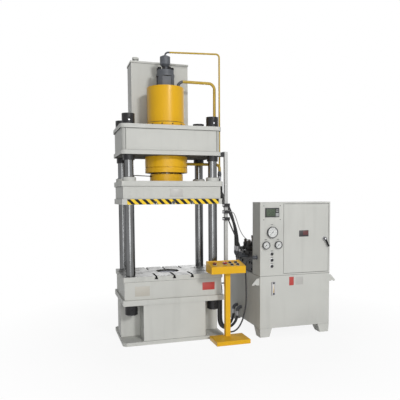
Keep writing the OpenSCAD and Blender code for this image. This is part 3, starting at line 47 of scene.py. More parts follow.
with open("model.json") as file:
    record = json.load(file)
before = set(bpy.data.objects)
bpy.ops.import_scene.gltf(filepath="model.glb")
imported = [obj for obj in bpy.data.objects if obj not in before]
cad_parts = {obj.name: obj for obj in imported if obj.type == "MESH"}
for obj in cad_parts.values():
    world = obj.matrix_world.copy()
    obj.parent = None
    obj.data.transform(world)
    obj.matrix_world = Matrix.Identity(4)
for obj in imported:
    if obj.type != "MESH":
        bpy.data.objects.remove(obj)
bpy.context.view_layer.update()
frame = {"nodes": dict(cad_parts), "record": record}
UP = Vector((0, 0, 1))
FRONT = Vector((0, -1, 0))
RIGHT = Vector((1, 0, 0))
SEEN_RAYS = ("Is Camera Ray", "Is Glossy Ray", "Is Transmission Ray")


def colour_value(label, words, value):
    return FloatVectorProperty(name=label, description=words, default=value, size=3, min=0, max=1, subtype="COLOR")


def length_value(label, words, value):
    return FloatProperty(name=label, description=words, default=value, min=0, unit="LENGTH")


class PressColours(PropertyGroup):
    """Colours of the press, linear"""

    paint: colour_value("Grey paint", "Paint of the bed, beam, slide and power unit", (0.565, 0.565, 0.53))
    yellow: colour_value("Yellow paint", "Paint of the cylinder and the pedestal", (0.76, 0.42, 0.012))
    pipe: colour_value("Pipe paint", "Paint of the oil pipes", (0.50, 0.33, 0.03))
    iron: colour_value("Dark iron", "Paint of the prefill valve", (0.075, 0.08, 0.09))
    nut: colour_value("Blackened steel", "Finish of the round nuts", (0.014, 0.014, 0.015))
    red: colour_value("Red plate", "Colour of the plain red plates", (0.44, 0.050, 0.042))


class PressSizes(PropertyGroup):
    """Sizes of the trim that the solids leave out"""

    edge: length_value("Edge radius", "Softness of the plates' edges", 0.004)
    sheet_edge: length_value("Sheet edge radius", "Softness of the folded sheet's edges", 0.003)
    turned_edge: length_value("Turned edge", "Softness of turned edges", 0.002)
    stripe: length_value("Stripe pitch", "Length of one black and one yellow stripe", 0.0835)
    seam: length_value("Seam radius", "Radius of the weld seams", 0.003)
    plate: length_value("Plate thickness", "Thickness of the plain plates", 0.0012)
    tank_back: length_value("Tank back", "Place of the oil tank's back wall", 0.535)
    ticks: IntProperty(name="Dial ticks", description="Number of steps round a gauge dial", default=30, min=10, max=60)


def sums(operation, swapped=False):
    """A method of Wire that makes a Math node, with its values swapped for a reflected form."""
    def join(self, other):
        return self.sum(operation, other, self) if swapped else self.sum(operation, self, other)
    return join


class Wire:
    """A shader socket that can stand in a sum"""

    def __init__(self, nodes, socket):
        self.nodes = nodes
        self.socket = socket

    def sum(self, operation, first, second):
        return self.nodes.node("ShaderNodeMath", {"operation": operation}, {0: first, 1: second})

    __add__ = __radd__ = sums("ADD")
    __mul__ = __rmul__ = sums("MULTIPLY")
    __sub__, __rsub__ = sums("SUBTRACT"), sums("SUBTRACT", True)
    __truediv__, __rtruediv__ = sums("DIVIDE"), sums("DIVIDE", True)
    __mod__, __rmod__ = sums("FLOORED_MODULO"), sums("FLOORED_MODULO", True)
    __gt__, __lt__ = sums("GREATER_THAN"), sums("LESS_THAN")


class Nodes:
    """A node tree, cleared and then filled by one method"""

    def __init__(self, tree):
        self.tree = tree
        tree.nodes.clear()

    def plug(self, socket, value):
        if isinstance(value, Wire):
            self.tree.links.new(value.socket, socket)
        elif socket.type == "RGBA" and len(value) == 3:
            socket.default_value = (*value, 1)
        else:
            socket.default_value = value

    def node(self, kind, settings=None, sockets=None, out=0):
        made = self.tree.nodes.new(kind)
        for key, value in (settings or {}).items():
            setattr(made, key, value)
        for key, value in (sockets or {}).items():
            self.plug(made.inputs[key], value)
        return Wire(self, made.outputs[out])

    def seen(self):
        """1 where the camera looks, also by way of metal and glass."""
        camera, glossy, clear = (self.node("ShaderNodeLightPath", out=ray) for ray in SEEN_RAYS)
        return camera.sum("MAXIMUM", camera.sum("MAXIMUM", camera, glossy), clear)


class Finish(Nodes):
    """A material with one Principled shader and the nodes that feed it"""

    def __init__(self, name):
        self.material = bpy.data.materials.new(name)
        self.material.use_nodes = True
        super().__init__(self.material.node_tree)
        self.shader = self.tree.nodes.new("ShaderNodeBsdfPrincipled")
        self.output = self.tree.nodes.new("ShaderNodeOutputMaterial")
        self.surface = Wire(self, self.shader.outputs[0])
        self.end(self.surface)

    def end(self, wire):
        self.plug(self.output.inputs[0], wire)

    def set(self, **values):
        for key, value in values.items():
            self.plug(self.shader.inputs[key.replace("_", " ")], value)
        return self

    def place(self, stretch=(1, 1, 1), shift=(0, 0, 0)):
        point = self.node("ShaderNodeTexCoord", out="Object")
        return self.node("ShaderNodeMapping", None, {0: point, "Scale": stretch, "Location": shift})

    def noise(self, scale, detail=3.0, rough=0.5, stretch=(1, 1, 1)):
        return self.node("ShaderNodeTexNoise", None,
                         {"Vector": self.place(stretch), "Scale": scale, "Detail": detail, "Roughness": rough})

    def ramp(self, wire, low, high):
        return self.node("ShaderNodeMapRange", None, {0: wire, 1: low, 2: high})

    def axis(self, name, vector=None):
        vector = vector or self.node("ShaderNodeTexCoord", out="Object")
        return self.node("ShaderNodeSeparateXYZ", None, {0: vector}, name)

    def facing_up(self):
        return self.axis("Z", self.node("ShaderNodeNewGeometry", out="Normal"))

    def mix(self, share, first, second):
        return self.node("ShaderNodeMix", {"data_type": "RGBA"}, {0: share, 6: first, 7: second}, 2)

    def shade(self, share, colour, first, second):
        """A mix of two tints of one colour."""
        return self.mix(share, tint(colour, first), tint(colour, second))

    def bump(self, height, strength, distance):
        bumped = self.node("ShaderNodeBump", None, {"Height": height, "Strength": strength, "Distance": distance})
        return self.set(Normal=bumped)


def tint(colour, factor):
    return tuple(min(1.0, c * factor) for c in colour)


def finish_maker(fill):
    """Makes a function that fills a new material of a given name."""
    def make(name, *values):
        f = Finish(name)
        fill(f, *values)
        return f.material
    return make


@finish_maker
def paint_finish(f, colour, rough=0.46, coat=0.0, wear=1.0, gloss=0.14):
    """Sprayed enamel: mottling, runs of grime, dust on what faces up, painted shade on what faces down and a fine
    orange peel.
    """
    mottle = f.ramp(f.noise(2.3, 4), 0.3, 0.7)
    runs = f.ramp(f.noise(1.0, 5, 0.6, (9, 9, 0.9)), 0.52, 0.78)
    level = f.ramp(f.facing_up(), 0.5, 1.0)
    dust = level * f.ramp(f.noise(7.0, 5), 0.35, 0.75)
    specks = f.ramp(f.noise(160.0, 2), 0.70, 0.76)
    base = f.shade(mottle, colour, 0.95, 1.03)
    under = f.ramp(f.facing_up(), -0.7, -0.98)
    base = f.mix(runs * (0.22 * wear), base, tint(colour, 0.62))
    # Painted shade: faces that point down are darkened to 0.12 of the paint colour, standing in for the shade under the
    # beam.
    base = f.mix(under * 0.9, base, tint(colour, 0.12))
    base = f.mix(dust * (0.20 * wear), base, (0.46, 0.44, 0.40))
    base = f.mix(specks * (0.16 * wear), base, tint(colour, 0.45))
    f.set(Base_Color=base, Roughness=rough + mottle * 0.08 + dust * 0.14 + level * 0.26 + under * 0.5,
          Specular_IOR_Level=gloss, Coat_Weight=coat * (1 - level), Coat_Roughness=0.12)
    f.bump(f.noise(420.0, 2), 0.10, 0.0006)


@finish_maker
def chrome_finish(f):
    """Hard chrome with faint rings from grinding and a thin film of oil."""
    rings = f.noise(1.0, 2, 0.5, (4, 4, 520))
    film = f.ramp(f.noise(3.0, 5, 0.6, (3, 3, 0.8)), 0.42, 0.72)
    f.set(Base_Color=f.mix(film, (0.165, 0.168, 0.171), (0.105, 0.105, 0.103)), Metallic=1.0,
          Specular_Tint=(0.25, 0.25, 0.26, 1), Roughness=0.17 + rings * 0.05 + film * 0.09)
    f.bump(rings, 0.01, 0.0002)


@finish_maker
def ground_finish(f, colour):
    """Ground steel with straight fine lines, oil stains and a few scratches."""
    lines = f.noise(1.0, 3, 0.6, (7, 340, 340))
    stains = f.ramp(f.noise(6.0, 6, 0.6), 0.48, 0.72)
    scratches = f.ramp(f.noise(1.0, 2, 0.5, (240, 9, 60)), 0.70, 0.74)
    base = f.shade(lines, colour, 0.86, 1.08)
    base = f.mix(stains * 0.45, base, tint(colour, 0.50))
    f.set(Base_Color=base, Metallic=0.85, Roughness=0.38 + lines * 0.14 + stains * 0.12 - scratches * 0.1)
    f.bump(lines, 0.10, 0.0004)


@finish_maker
def table_finish(f, colour, paint):
    """Ground steel on what faces up, thin paint on the sides, and painted shade down in the slots."""
    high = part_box("table_plate")[1]
    across, deep, rim = f.axis("X"), f.axis("Y"), 0.013
    within = (across * across < (high.x - rim) ** 2) * (deep * deep < (high.y - rim) ** 2)
    # Painted shade: below the top face and inside the rim, the slots' walls and floors are darkened nearly to black.
    slots = within * (f.axis("Z") < high.z - 0.0015)
    lines = f.noise(1.0, 3, 0.6, (7, 340, 340))
    stains = f.ramp(f.noise(6.0, 6, 0.6), 0.44, 0.72)
    top = f.ramp(f.facing_up(), 0.5, 0.8)
    steel = f.mix(stains * 0.5, f.shade(lines, colour, 0.86, 1.08), tint(colour, 0.5))
    runs = f.ramp(f.noise(1.0, 5, 0.6, (12, 12, 3)), 0.5, 0.78)
    sides = f.shade(runs * 0.4, paint, 0.96, 0.6)
    f.set(Base_Color=f.mix(slots * 0.9, f.mix(top, sides, steel), tint(colour, 0.1)), Metallic=top * 0.4,
          Specular_IOR_Level=0.15, Roughness=0.46 + lines * 0.10 + stains * 0.12)
    f.bump(lines, 0.06, 0.0004)


@finish_maker
def pipe_finish(f, colour, iron):
    """Yellow enamel on the pipes, dark where they are flanged to the cylinder."""
    mottle = f.ramp(f.noise(5.0, 4), 0.3, 0.7)
    grime = f.ramp(f.noise(18.0, 5, 0.6), 0.5, 0.75)
    across, height = f.axis("X"), f.axis("Z")
    flange = (across < 0.205) * (height > 2.86) * (height < 3.0)
    pilot = (across < 0.05) * (height > 3.2)
    base = f.mix(grime * 0.3, f.shade(mottle, colour, 0.92, 1.06), tint(colour, 0.5))
    f.set(Base_Color=f.mix(flange + pilot, base, f.shade(mottle, iron, 0.6, 1.1)),
          Specular_IOR_Level=0.35, Roughness=0.32 + mottle * 0.08 + grime * 0.14)
    f.bump(f.noise(300.0, 2), 0.08, 0.0005)


@finish_maker
def black_finish(f, colour, rough=0.36, metal=0.1):
    """Blackened steel with a slight oily sheen and rubbed spots."""
    cloud = f.ramp(f.noise(11.0, 5, 0.6), 0.35, 0.72)
    rubbed = f.ramp(f.noise(46.0, 4), 0.66, 0.80)
    base = f.shade(cloud, colour, 0.7, 1.5)
    base = f.mix(rubbed * 0.25, base, (0.10, 0.10, 0.10))
    f.set(Base_Color=base, Metallic=metal, Specular_IOR_Level=0.3, Roughness=rough + cloud * 0.12)
    f.bump(f.noise(240.0, 3), 0.12, 0.0005)


@finish_maker
def casting_finish(f, colour):
    """Painted casting with a grainy skin."""
    grain = f.noise(95.0, 5, 0.65)
    cloud = f.ramp(f.noise(5.0, 4), 0.3, 0.7)
    base = f.shade(cloud, colour, 0.75, 1.3)
    base = f.mix(f.ramp(grain, 0.62, 0.75) * 0.3, base, tint(colour, 2.2))
    f.set(Base_Color=base, Metallic=0.1, Roughness=0.46 + grain * 0.16)
    f.bump(grain, 0.30, 0.001)


@finish_maker
def plastic_finish(f, colour, rough=0.35, grain=0.06):
    """Moulded plastic with a fine even texture."""
    fine = f.noise(900.0, 2)
    cloud = f.ramp(f.noise(30.0, 3), 0.3, 0.7)
    f.set(Base_Color=f.shade(cloud, colour, 0.92, 1.06), Roughness=rough + fine * 0.1)
    f.bump(fine, grain, 0.0004)


@finish_maker
def hose_finish(f, colour, pitch):
    """Hose cover with the fine cross-wrapped mark of its cloth."""
    ends = f.node("ShaderNodeTexCoord", out="UV")
    along = f.axis("X", ends) * pitch
    across = f.axis("Y", ends) * 8.0
    wrap = ((along + across) % 1.0 > 0.5) * 0.5 + ((along - across) % 1.0 > 0.5) * 0.5
    dust = f.ramp(f.noise(14.0, 5), 0.45, 0.75)
    f.set(Base_Color=f.mix(dust * 0.5, colour, tint(colour, 2.6)), Roughness=0.52 + dust * 0.2)
    f.bump(wrap, 0.18, 0.0008)


@finish_maker
def hazard_finish(f, yellow, black, pitch):
    """Slanted yellow and black stripes, a little scuffed."""
    run = f.axis("X") + f.axis("Z")
    stripe = (run / pitch) % 1.0 < 0.5
    scuff = f.ramp(f.noise(60.0, 5, 0.65, (1, 1, 3)), 0.62, 0.78)
    base = f.mix(stripe, yellow, black)
    f.set(Base_Color=f.mix(scuff * 0.2, base, (0.30, 0.28, 0.22)), Specular_IOR_Level=0.12,
          Roughness=0.50 + scuff * 0.3)
    f.bump(scuff, 0.05, 0.0004)


@finish_maker
def plate_finish(f, colour, metal=0.0, rough=0.4):
    """Printed or anodised plate with faint brush marks and finger marks."""
    lines = f.noise(1.0, 2, 0.5, (12, 12, 900))
    marks = f.ramp(f.noise(35.0, 4), 0.5, 0.75)
    f.set(Base_Color=f.shade(lines, colour, 0.92, 1.05), Metallic=metal, Roughness=rough + marks * 0.15)
    f.bump(lines, 0.04, 0.0003)


@finish_maker
def screen_finish(f):
    """A green liquid-crystal screen with rows of dots behind it."""
    rows = f.axis("Z") * 260.0 % 1.0 > 0.42
    cells = f.axis("X") * 210.0 % 1.0 > 0.30
    shown = f.ramp(f.noise(75.0, 1, 0.4, (1, 1, 2.6)), 0.47, 0.53)
    dots = rows * cells * shown
    base = f.mix(dots, (0.080, 0.102, 0.074), (0.020, 0.026, 0.020))
    f.set(Base_Color=base, Roughness=0.50 + dots * 0.04, Specular_IOR_Level=0.15, Emission_Color=base,
          Emission_Strength=0.25)


@finish_maker
def glass_finish(f):
    """Clear glass, slightly smeared."""
    smear = f.ramp(f.noise(40.0, 4), 0.5, 0.8)
    f.set(Base_Color=(0.75, 0.78, 0.78), Roughness=0.04 + smear * 0.05, Alpha=0.07 + smear * 0.05)


@finish_maker
def oil_finish(f):
    """Amber oil behind a sight glass."""
    depth = f.ramp(f.axis("Z"), 0.52, 0.62)
    f.set(Base_Color=f.mix(depth, (0.62, 0.40, 0.10), (0.86, 0.83, 0.74)), Roughness=0.12 + depth * 0.1,
          Coat_Weight=0.5)


def make_finishes(colours, sizes):
    paint, yellow = tuple(colours.paint), tuple(colours.yellow)
    iron, nut = tuple(colours.iron), tuple(colours.nut)
    return {
        "grey": paint_finish("grey_enamel", paint),
        "yellow": paint_finish("yellow_enamel", yellow, 0.28, 0.05, 0.5, 0.22),
        "pipe": pipe_finish("pipe_enamel", tuple(colours.pipe), iron),
        "chrome": chrome_finish("hard_chrome"),
        "table": table_finish("ground_table", (0.18, 0.18, 0.175), paint),
        "zinc": ground_finish("zinc_plated_steel", (0.50, 0.50, 0.52)),
        "pole": plate_finish("pole_aluminium", (0.42, 0.42, 0.41), 0.3, 0.45),
        "nut": black_finish("blackened_steel", nut),
        # Weld beads at 0.42 of the grey: partly real seams, partly painted shade for the dark lines under the plates'
        # lips.
        "seam": paint_finish("welded_seam", tint(paint, 0.42), 0.6),
        "iron": casting_finish("dark_iron", iron),
        "valve": casting_finish("valve_iron", (0.02, 0.018, 0.017)),
        "motor": casting_finish("motor_blue_grey", (0.09, 0.10, 0.115)),
        "plug": plastic_finish("brown_plug", (0.045, 0.026, 0.018), 0.4),
        "plastic": plastic_finish("black_plastic", (0.018, 0.018, 0.019)),
        "white": plastic_finish("white_plastic", (0.72, 0.72, 0.70)),
        "red": plastic_finish("red_plastic", (0.36, 0.02, 0.016), 0.26),
        "brown": plastic_finish("brown_red_plastic", (0.20, 0.045, 0.03), 0.3),
        "hose": hose_finish("hose_cover", (0.013, 0.013, 0.014), 90.0),
        "cable": hose_finish("cable_sheath", (0.016, 0.016, 0.017), 160.0),
        "lead": hose_finish("grey_lead", (0.20, 0.20, 0.20), 200.0),
        "hazard": hazard_finish("hazard_stripes", (0.88, 0.60, 0.04), (0.012, 0.012, 0.012), sizes.stripe),
        "red_plate": plate_finish("red_plate", tuple(colours.red)),
        "pale_plate": plate_finish("pale_plate", (0.47, 0.46, 0.435)),
        "dark_plate": plate_finish("dark_plate", (0.03, 0.028, 0.03)),
        "maroon_plate": plate_finish("maroon_plate", (0.105, 0.030, 0.030)),
        "dial": plate_finish("dial_card", (0.70, 0.70, 0.68), 0.0, 0.5),
        "ink": plate_finish("dial_ink", (0.012, 0.012, 0.012), 0.0, 0.5),
        "beige_plate": plate_finish("beige_plate", (0.48, 0.455, 0.40)),
        "grey_strip": plate_finish("grey_strip", (0.16, 0.16, 0.16)),
        "key": plastic_finish("grey_key", (0.34, 0.35, 0.34)),
        "duct": plastic_finish("grey_duct", (0.40, 0.41, 0.42)),
        "wire": plastic_finish("black_wire", (0.02, 0.02, 0.024)),
        "bolt": plastic_finish("black_bolt", (0.005, 0.005, 0.006), 0.75),
        "screen": screen_finish("display_screen"),
        "glass": glass_finish("gauge_glass"),
        "oil": oil_finish("sight_oil"),
    }


FINISHES = {}
NODE_FINISH = {
    "grey": ("base_plate", "bed_core", "bed_sides", "bed_box", "upper_beam", "overhead_tank", "overhead_tank_lid",
             "oil_tank", "control_cabinet", "cabinet_door", "slide_body", "guide_bushes"),
    "yellow": ("main_cylinder", "cylinder_gland", "cylinder_ring_nut", "pedestal_stand", "console_box", "ram_flange"),
    "pipe": ("oil_pipes",),
    "chrome": ("columns", "main_ram", "ejector_ram", "pressure_gauges"),
    "table": ("table_plate",),
    "zinc": ("proximity_sensors", "oil_level_gauge", "electrical_panel"),
    "pole": ("sensor_pole",),
    "nut": ("column_nuts", "pole_brackets", "target_plate", "door_handle", "main_gauge_needle",
            "left_gauge_needle", "right_gauge_needle"),
    "iron": ("prefill_valve", "ejector_cylinder", "hose_fittings"),
    "valve": ("manifold_block", "solenoid_valves"),
    "motor": ("electric_motor", "hydraulic_pump"),
    "plastic": ("display_unit", "button_collars", "panel_button_top", "panel_button_middle", "panel_button_bottom",
                "console_button_1", "console_button_2", "console_button_3", "console_button_4"),
    "red": ("emergency_stop",),
    "brown": ("palm_button",),
    "hose": ("pressure_hose", "return_hose", "pilot_hose", "ejector_hose_1", "ejector_hose_2"),
    "cable": ("pedestal_cable",),
    "lead": ("sensor_cable",),
}
FINISH_OF = {node: finish for finish, nodes in NODE_FINISH.items() for node in nodes}
BODY_OF = {node: body for body, nodes in frame["record"]["behaviour"]["bodies"].items() for node in nodes}

# Solids whose edges are softened, by the kind of edge
PLATES = ("base_plate", "bed_core", "bed_sides", "bed_box", "table_plate", "upper_beam", "slide_body", "overhead_tank",
          "overhead_tank_lid", "pedestal_stand", "console_box", "manifold_block", "solenoid_valves")
SHEETS = ("control_cabinet", "cabinet_door", "display_unit", "sensor_pole", "target_plate")
TURNED = ("column_nuts", "main_cylinder", "cylinder_gland", "cylinder_ring_nut", "ram_flange", "guide_bushes",
          "prefill_valve")

# Places that several pieces share, in metres
COLUMNS = tuple(product((-0.475, 0.475), (-0.28, 0.28)))
BUSH_TOP = 1.844
VALVE_ROWS = (-0.110, 0.010)
COLLAR_RADIUS = 0.0173


def smooth_mesh(mesh, degrees=32):
    mesh.shade_smooth()
    mesh.set_sharp_from_angle(angle=math.radians(degrees))


def piece(name, bm, finish, body="frame"):
    """Turns a bmesh into a piece with a finish that rides on a body."""
    bmesh.ops.recalc_face_normals(bm, faces=bm.faces)
    mesh = bpy.data.meshes.new(name)
    bm.to_mesh(mesh)
    bm.free()
    smooth_mesh(mesh)
    made = bpy.data.objects.new(name, mesh)
    bpy.context.scene.collection.objects.link(made)
    mesh.materials.append(FINISHES[finish])
    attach(made, body)
    return made


def shells(count):
    return [bmesh.new() for _ in range(count)]


def along(axis):
    """A turn that takes +Z to an axis."""
    return UP.rotation_difference(Vector(axis)).to_matrix().to_4x4()


def soften(bm, edges, radius, segments=2):
    bmesh.ops.bevel(bm, geom=edges, offset=radius, offset_type="OFFSET", segments=segments, profile=0.5, affect="EDGES",
                    clamp_overlap=True, material=-1)


def add_block(bm, low, high, radius=0.0):
    low, high = Vector(low), Vector(high)
    place = Matrix.Translation((low + high) / 2) @ Matrix.Diagonal((*(high - low), 1))
    corners = bmesh.ops.create_cube(bm, size=1, matrix=place)["verts"]
    if radius:
        soften(bm, list({e for v in corners for e in v.link_edges}), radius)


def add_bar(bm, foot, axis, length, radius, sides=24, edge=0.0, tip=None):
    """A round bar, or a cone where tip is given, from its foot along an axis."""
    axis = Vector(axis).normalized()
    place = Matrix.Translation(Vector(foot) + axis * length / 2) @ along(axis)
    corners = bmesh.ops.create_cone(bm, cap_ends=True, segments=sides, radius1=radius,
                                    radius2=radius if tip is None else tip, depth=length, matrix=place)["verts"]
    if edge:
        rims = {e for v in corners for e in v.link_edges if abs((e.verts[0].co - e.verts[1].co).dot(axis)) < 1e-7}
        soften(bm, list(rims), edge)


def add_turned(bm, profile, foot, axis, steps=48):
    """Spins a profile of (radius, height) points about an axis."""
    points = [bm.verts.new((r, 0, h)) for r, h in profile]
    lines = [bm.edges.new(pair) for pair in zip(points, points[1:])]
    bmesh.ops.spin(bm, geom=points + lines, cent=(0, 0, 0), axis=(0, 0, 1), angle=math.tau, steps=steps, use_merge=True)
    made = {v for p in points for v in connected(p)}
    bmesh.ops.remove_doubles(bm, verts=list(made), dist=1e-6)
    made = [v for v in made if v.is_valid]
    bmesh.ops.transform(bm, matrix=Matrix.Translation(Vector(foot)) @ along(axis), verts=made)


def add_ring(bm, inner, outer, height, foot, axis, steps, chamfer=0.0):
    """A flat ring, its outer rim cut off where a chamfer is given."""
    rim = [(outer, height - chamfer), (outer - chamfer, height)] if chamfer else [(outer, height)]
    add_turned(bm, [(inner, 0), (outer, 0), *rim, (inner, height), (inner, 0)], foot, axis, steps)


def connected(start):
    """Every vertex that joins on to one."""
    found, open_ends = {start}, [start]
    while open_ends:
        for edge in open_ends.pop().link_edges:
            for v in edge.verts:
                if v not in found:
                    found.add(v)
                    open_ends.append(v)
    return found


def add_hex(bm, foot, axis, size, height):
    """A hexagon head with a washer under it, size across the flats."""
    add_bar(bm, foot, axis, height * 0.16, size * 0.66, 24)
    add_bar(bm, Vector(foot) + Vector(axis) * height * 0.16, axis, height * 0.84, size * 0.577, 6, size * 0.05)


def add_socket_screw(bm, foot, axis, radius, height):
    """A cylinder-head screw with a hexagon socket."""
    rim, socket, depth = radius * 0.94, radius * 0.5, height * 0.45
    add_turned(bm, [(0, height - depth), (socket, height - depth), (socket, height), (rim, height),
                    (radius, height - (radius - rim)), (radius, 0), (0, 0)], foot, axis, 18)


def add_sheet(bm, points, lift):
    """A flat outline raised by a lift."""
    face = bm.faces.new([bm.verts.new(p) for p in points])
    raised = bmesh.ops.extrude_face_region(bm, geom=[face])["geom"]
    bmesh.ops.translate(bm, vec=lift, verts=[v for v in raised if isinstance(v, bmesh.types.BMVert)])


def add_plate(bm, wide, tall, y, thick):
    """A thin plate on a front face, with a rivet near each corner of a large one."""
    add_block(bm, (wide[0], y - thick, tall[0]), (wide[1], y, tall[1]), thick * 0.4)
    if tall[1] - tall[0] > 0.03:
        inset = 0.006
        for x, z in product((wide[0] + inset, wide[1] - inset), (tall[0] + inset, tall[1] - inset)):
            add_turned(bm, [(0, 0.0012), (0.0014, 0.0009), (0.0022, 0)], (x, y - thick, z), FRONT, 12)


def add_figures(bm, words, height, place):
    """Figures turned into a flat mesh."""
    curve = bpy.data.curves.new("figures", "FONT")
    curve.body, curve.size = words, height
    curve.align_x, curve.align_y = "CENTER", "CENTER"
    holder = bpy.data.objects.new("figures", curve)
    bpy.context.scene.collection.objects.link(holder)
    shown = holder.evaluated_get(bpy.context.evaluated_depsgraph_get())
    mesh = bpy.data.meshes.new_from_object(shown)
    mesh.transform(place)
    bm.from_mesh(mesh)
    bpy.data.objects.remove(holder)
    bpy.data.curves.remove(curve)
    bpy.data.meshes.remove(mesh)


def ring_points(centre, radius, count, start=0.0):
    for i in range(count):
        turn = start + math.tau * i / count
        yield Vector(centre) + Vector((math.cos(turn), math.sin(turn), 0)) * radius


class BuildStage(Operator):
    """Sets the camera, the lamps, the white surround and the pale floor"""

    bl_idname = "press.stage"
    bl_label = "Stage"

    def execute(self, context):
        scene = bpy.context.scene
        scene.view_settings.view_transform = "Standard"
        eye, (yaw, pitch, roll) = (-1.2367, -5.6224, 1.6262), (0.3087, 0.0719, -0.0051)
        forward = Vector((math.sin(yaw) * math.cos(pitch), math.cos(yaw) * math.cos(pitch), -math.sin(pitch)))
        right = Vector((math.cos(yaw), -math.sin(yaw), 0))
        up = right.cross(forward)
        right, up = right * math.cos(roll) + up * math.sin(roll), up * math.cos(roll) - right * math.sin(roll)
        lens = bpy.data.cameras.new("photo_camera")
        lens.sensor_width, lens.lens = 36, 43.85
        lens.shift_x, lens.shift_y = -0.03, 0.08
        camera = bpy.data.objects.new("photo_camera", lens)
        camera.matrix_world = Matrix((right, up, -forward)).transposed().to_4x4()
        camera.location = eye
        scene.collection.objects.link(camera)
        scene.camera = camera
        for name, place, aim, size, power in (
            ("key", (3.0, -13.0, 6.6), (0.4, 0, 1.3), 2.0, 850),
            ("front", (-1.9, -8.5, 1.3), (0.2, 0, 1.4), 4.2, 225),
            ("top", (0.4, 0.6, 6.8), (0.4, 0, 1.2), 3.0, 40),
            ("back", (2.6, 9.0, 4.0), (0.4, 0, 1.3), 3.0, 240),
        ):
            lamp = bpy.data.lights.new(name, "AREA")
            lamp.size, lamp.energy = size, power
            holder = bpy.data.objects.new(name, lamp)
            holder.location = place
            holder.rotation_euler = (Vector(aim) - Vector(place)).to_track_quat("-Z", "Y").to_euler()
            scene.collection.objects.link(holder)
        self.surround(scene)
        self.floor()
        return {"FINISHED"}

    def surround(self, scene):
        world = bpy.data.worlds.new("white_surround")
        scene.world = world
        world.use_nodes = True
        sky = Nodes(world.node_tree)
        soft = sky.node("ShaderNodeBackground", None, {"Color": (0.93, 0.96, 1.0), "Strength": 0.24})
        white = sky.node("ShaderNodeBackground", None, {"Color": (1, 1, 1), "Strength": 1.0})
        both = sky.node("ShaderNodeMixShader", None, {0: sky.seen(), 1: soft, 2: white})
        sky.plug(sky.tree.nodes.new("ShaderNodeOutputWorld").inputs[0], both)

    def floor(self):
        bm = bmesh.new()
        bmesh.ops.create_grid(bm, x_segments=1, y_segments=1, size=30)
        mesh = bpy.data.meshes.new("floor")
        bm.to_mesh(mesh)
        bm.free()
        floor = bpy.data.objects.new("floor", mesh)
        bpy.context.scene.collection.objects.link(floor)
        pale = Finish("pale_floor")
        haze = pale.noise(0.8, 4)
        pale.set(Base_Color=pale.mix(haze, (0.74, 0.74, 0.74), (0.78, 0.78, 0.78)), Roughness=0.75 + haze * 0.1)
        glow = pale.node("ShaderNodeEmission", None, {"Color": (1, 1, 1), "Strength": 1.0})
        away = pale.node("ShaderNodeVectorMath", {"operation": "LENGTH"}, {0: pale.place(shift=(-0.6, 0, 0))}, "Value")
        share = pale.seen() * (0.90 + pale.ramp(away, 1.5, 3.0) * 0.10)
        pale.end(pale.node("ShaderNodeMixShader", None, {0: share, 1: pale.surface, 2: glow}))
        mesh.materials.append(pale.material)


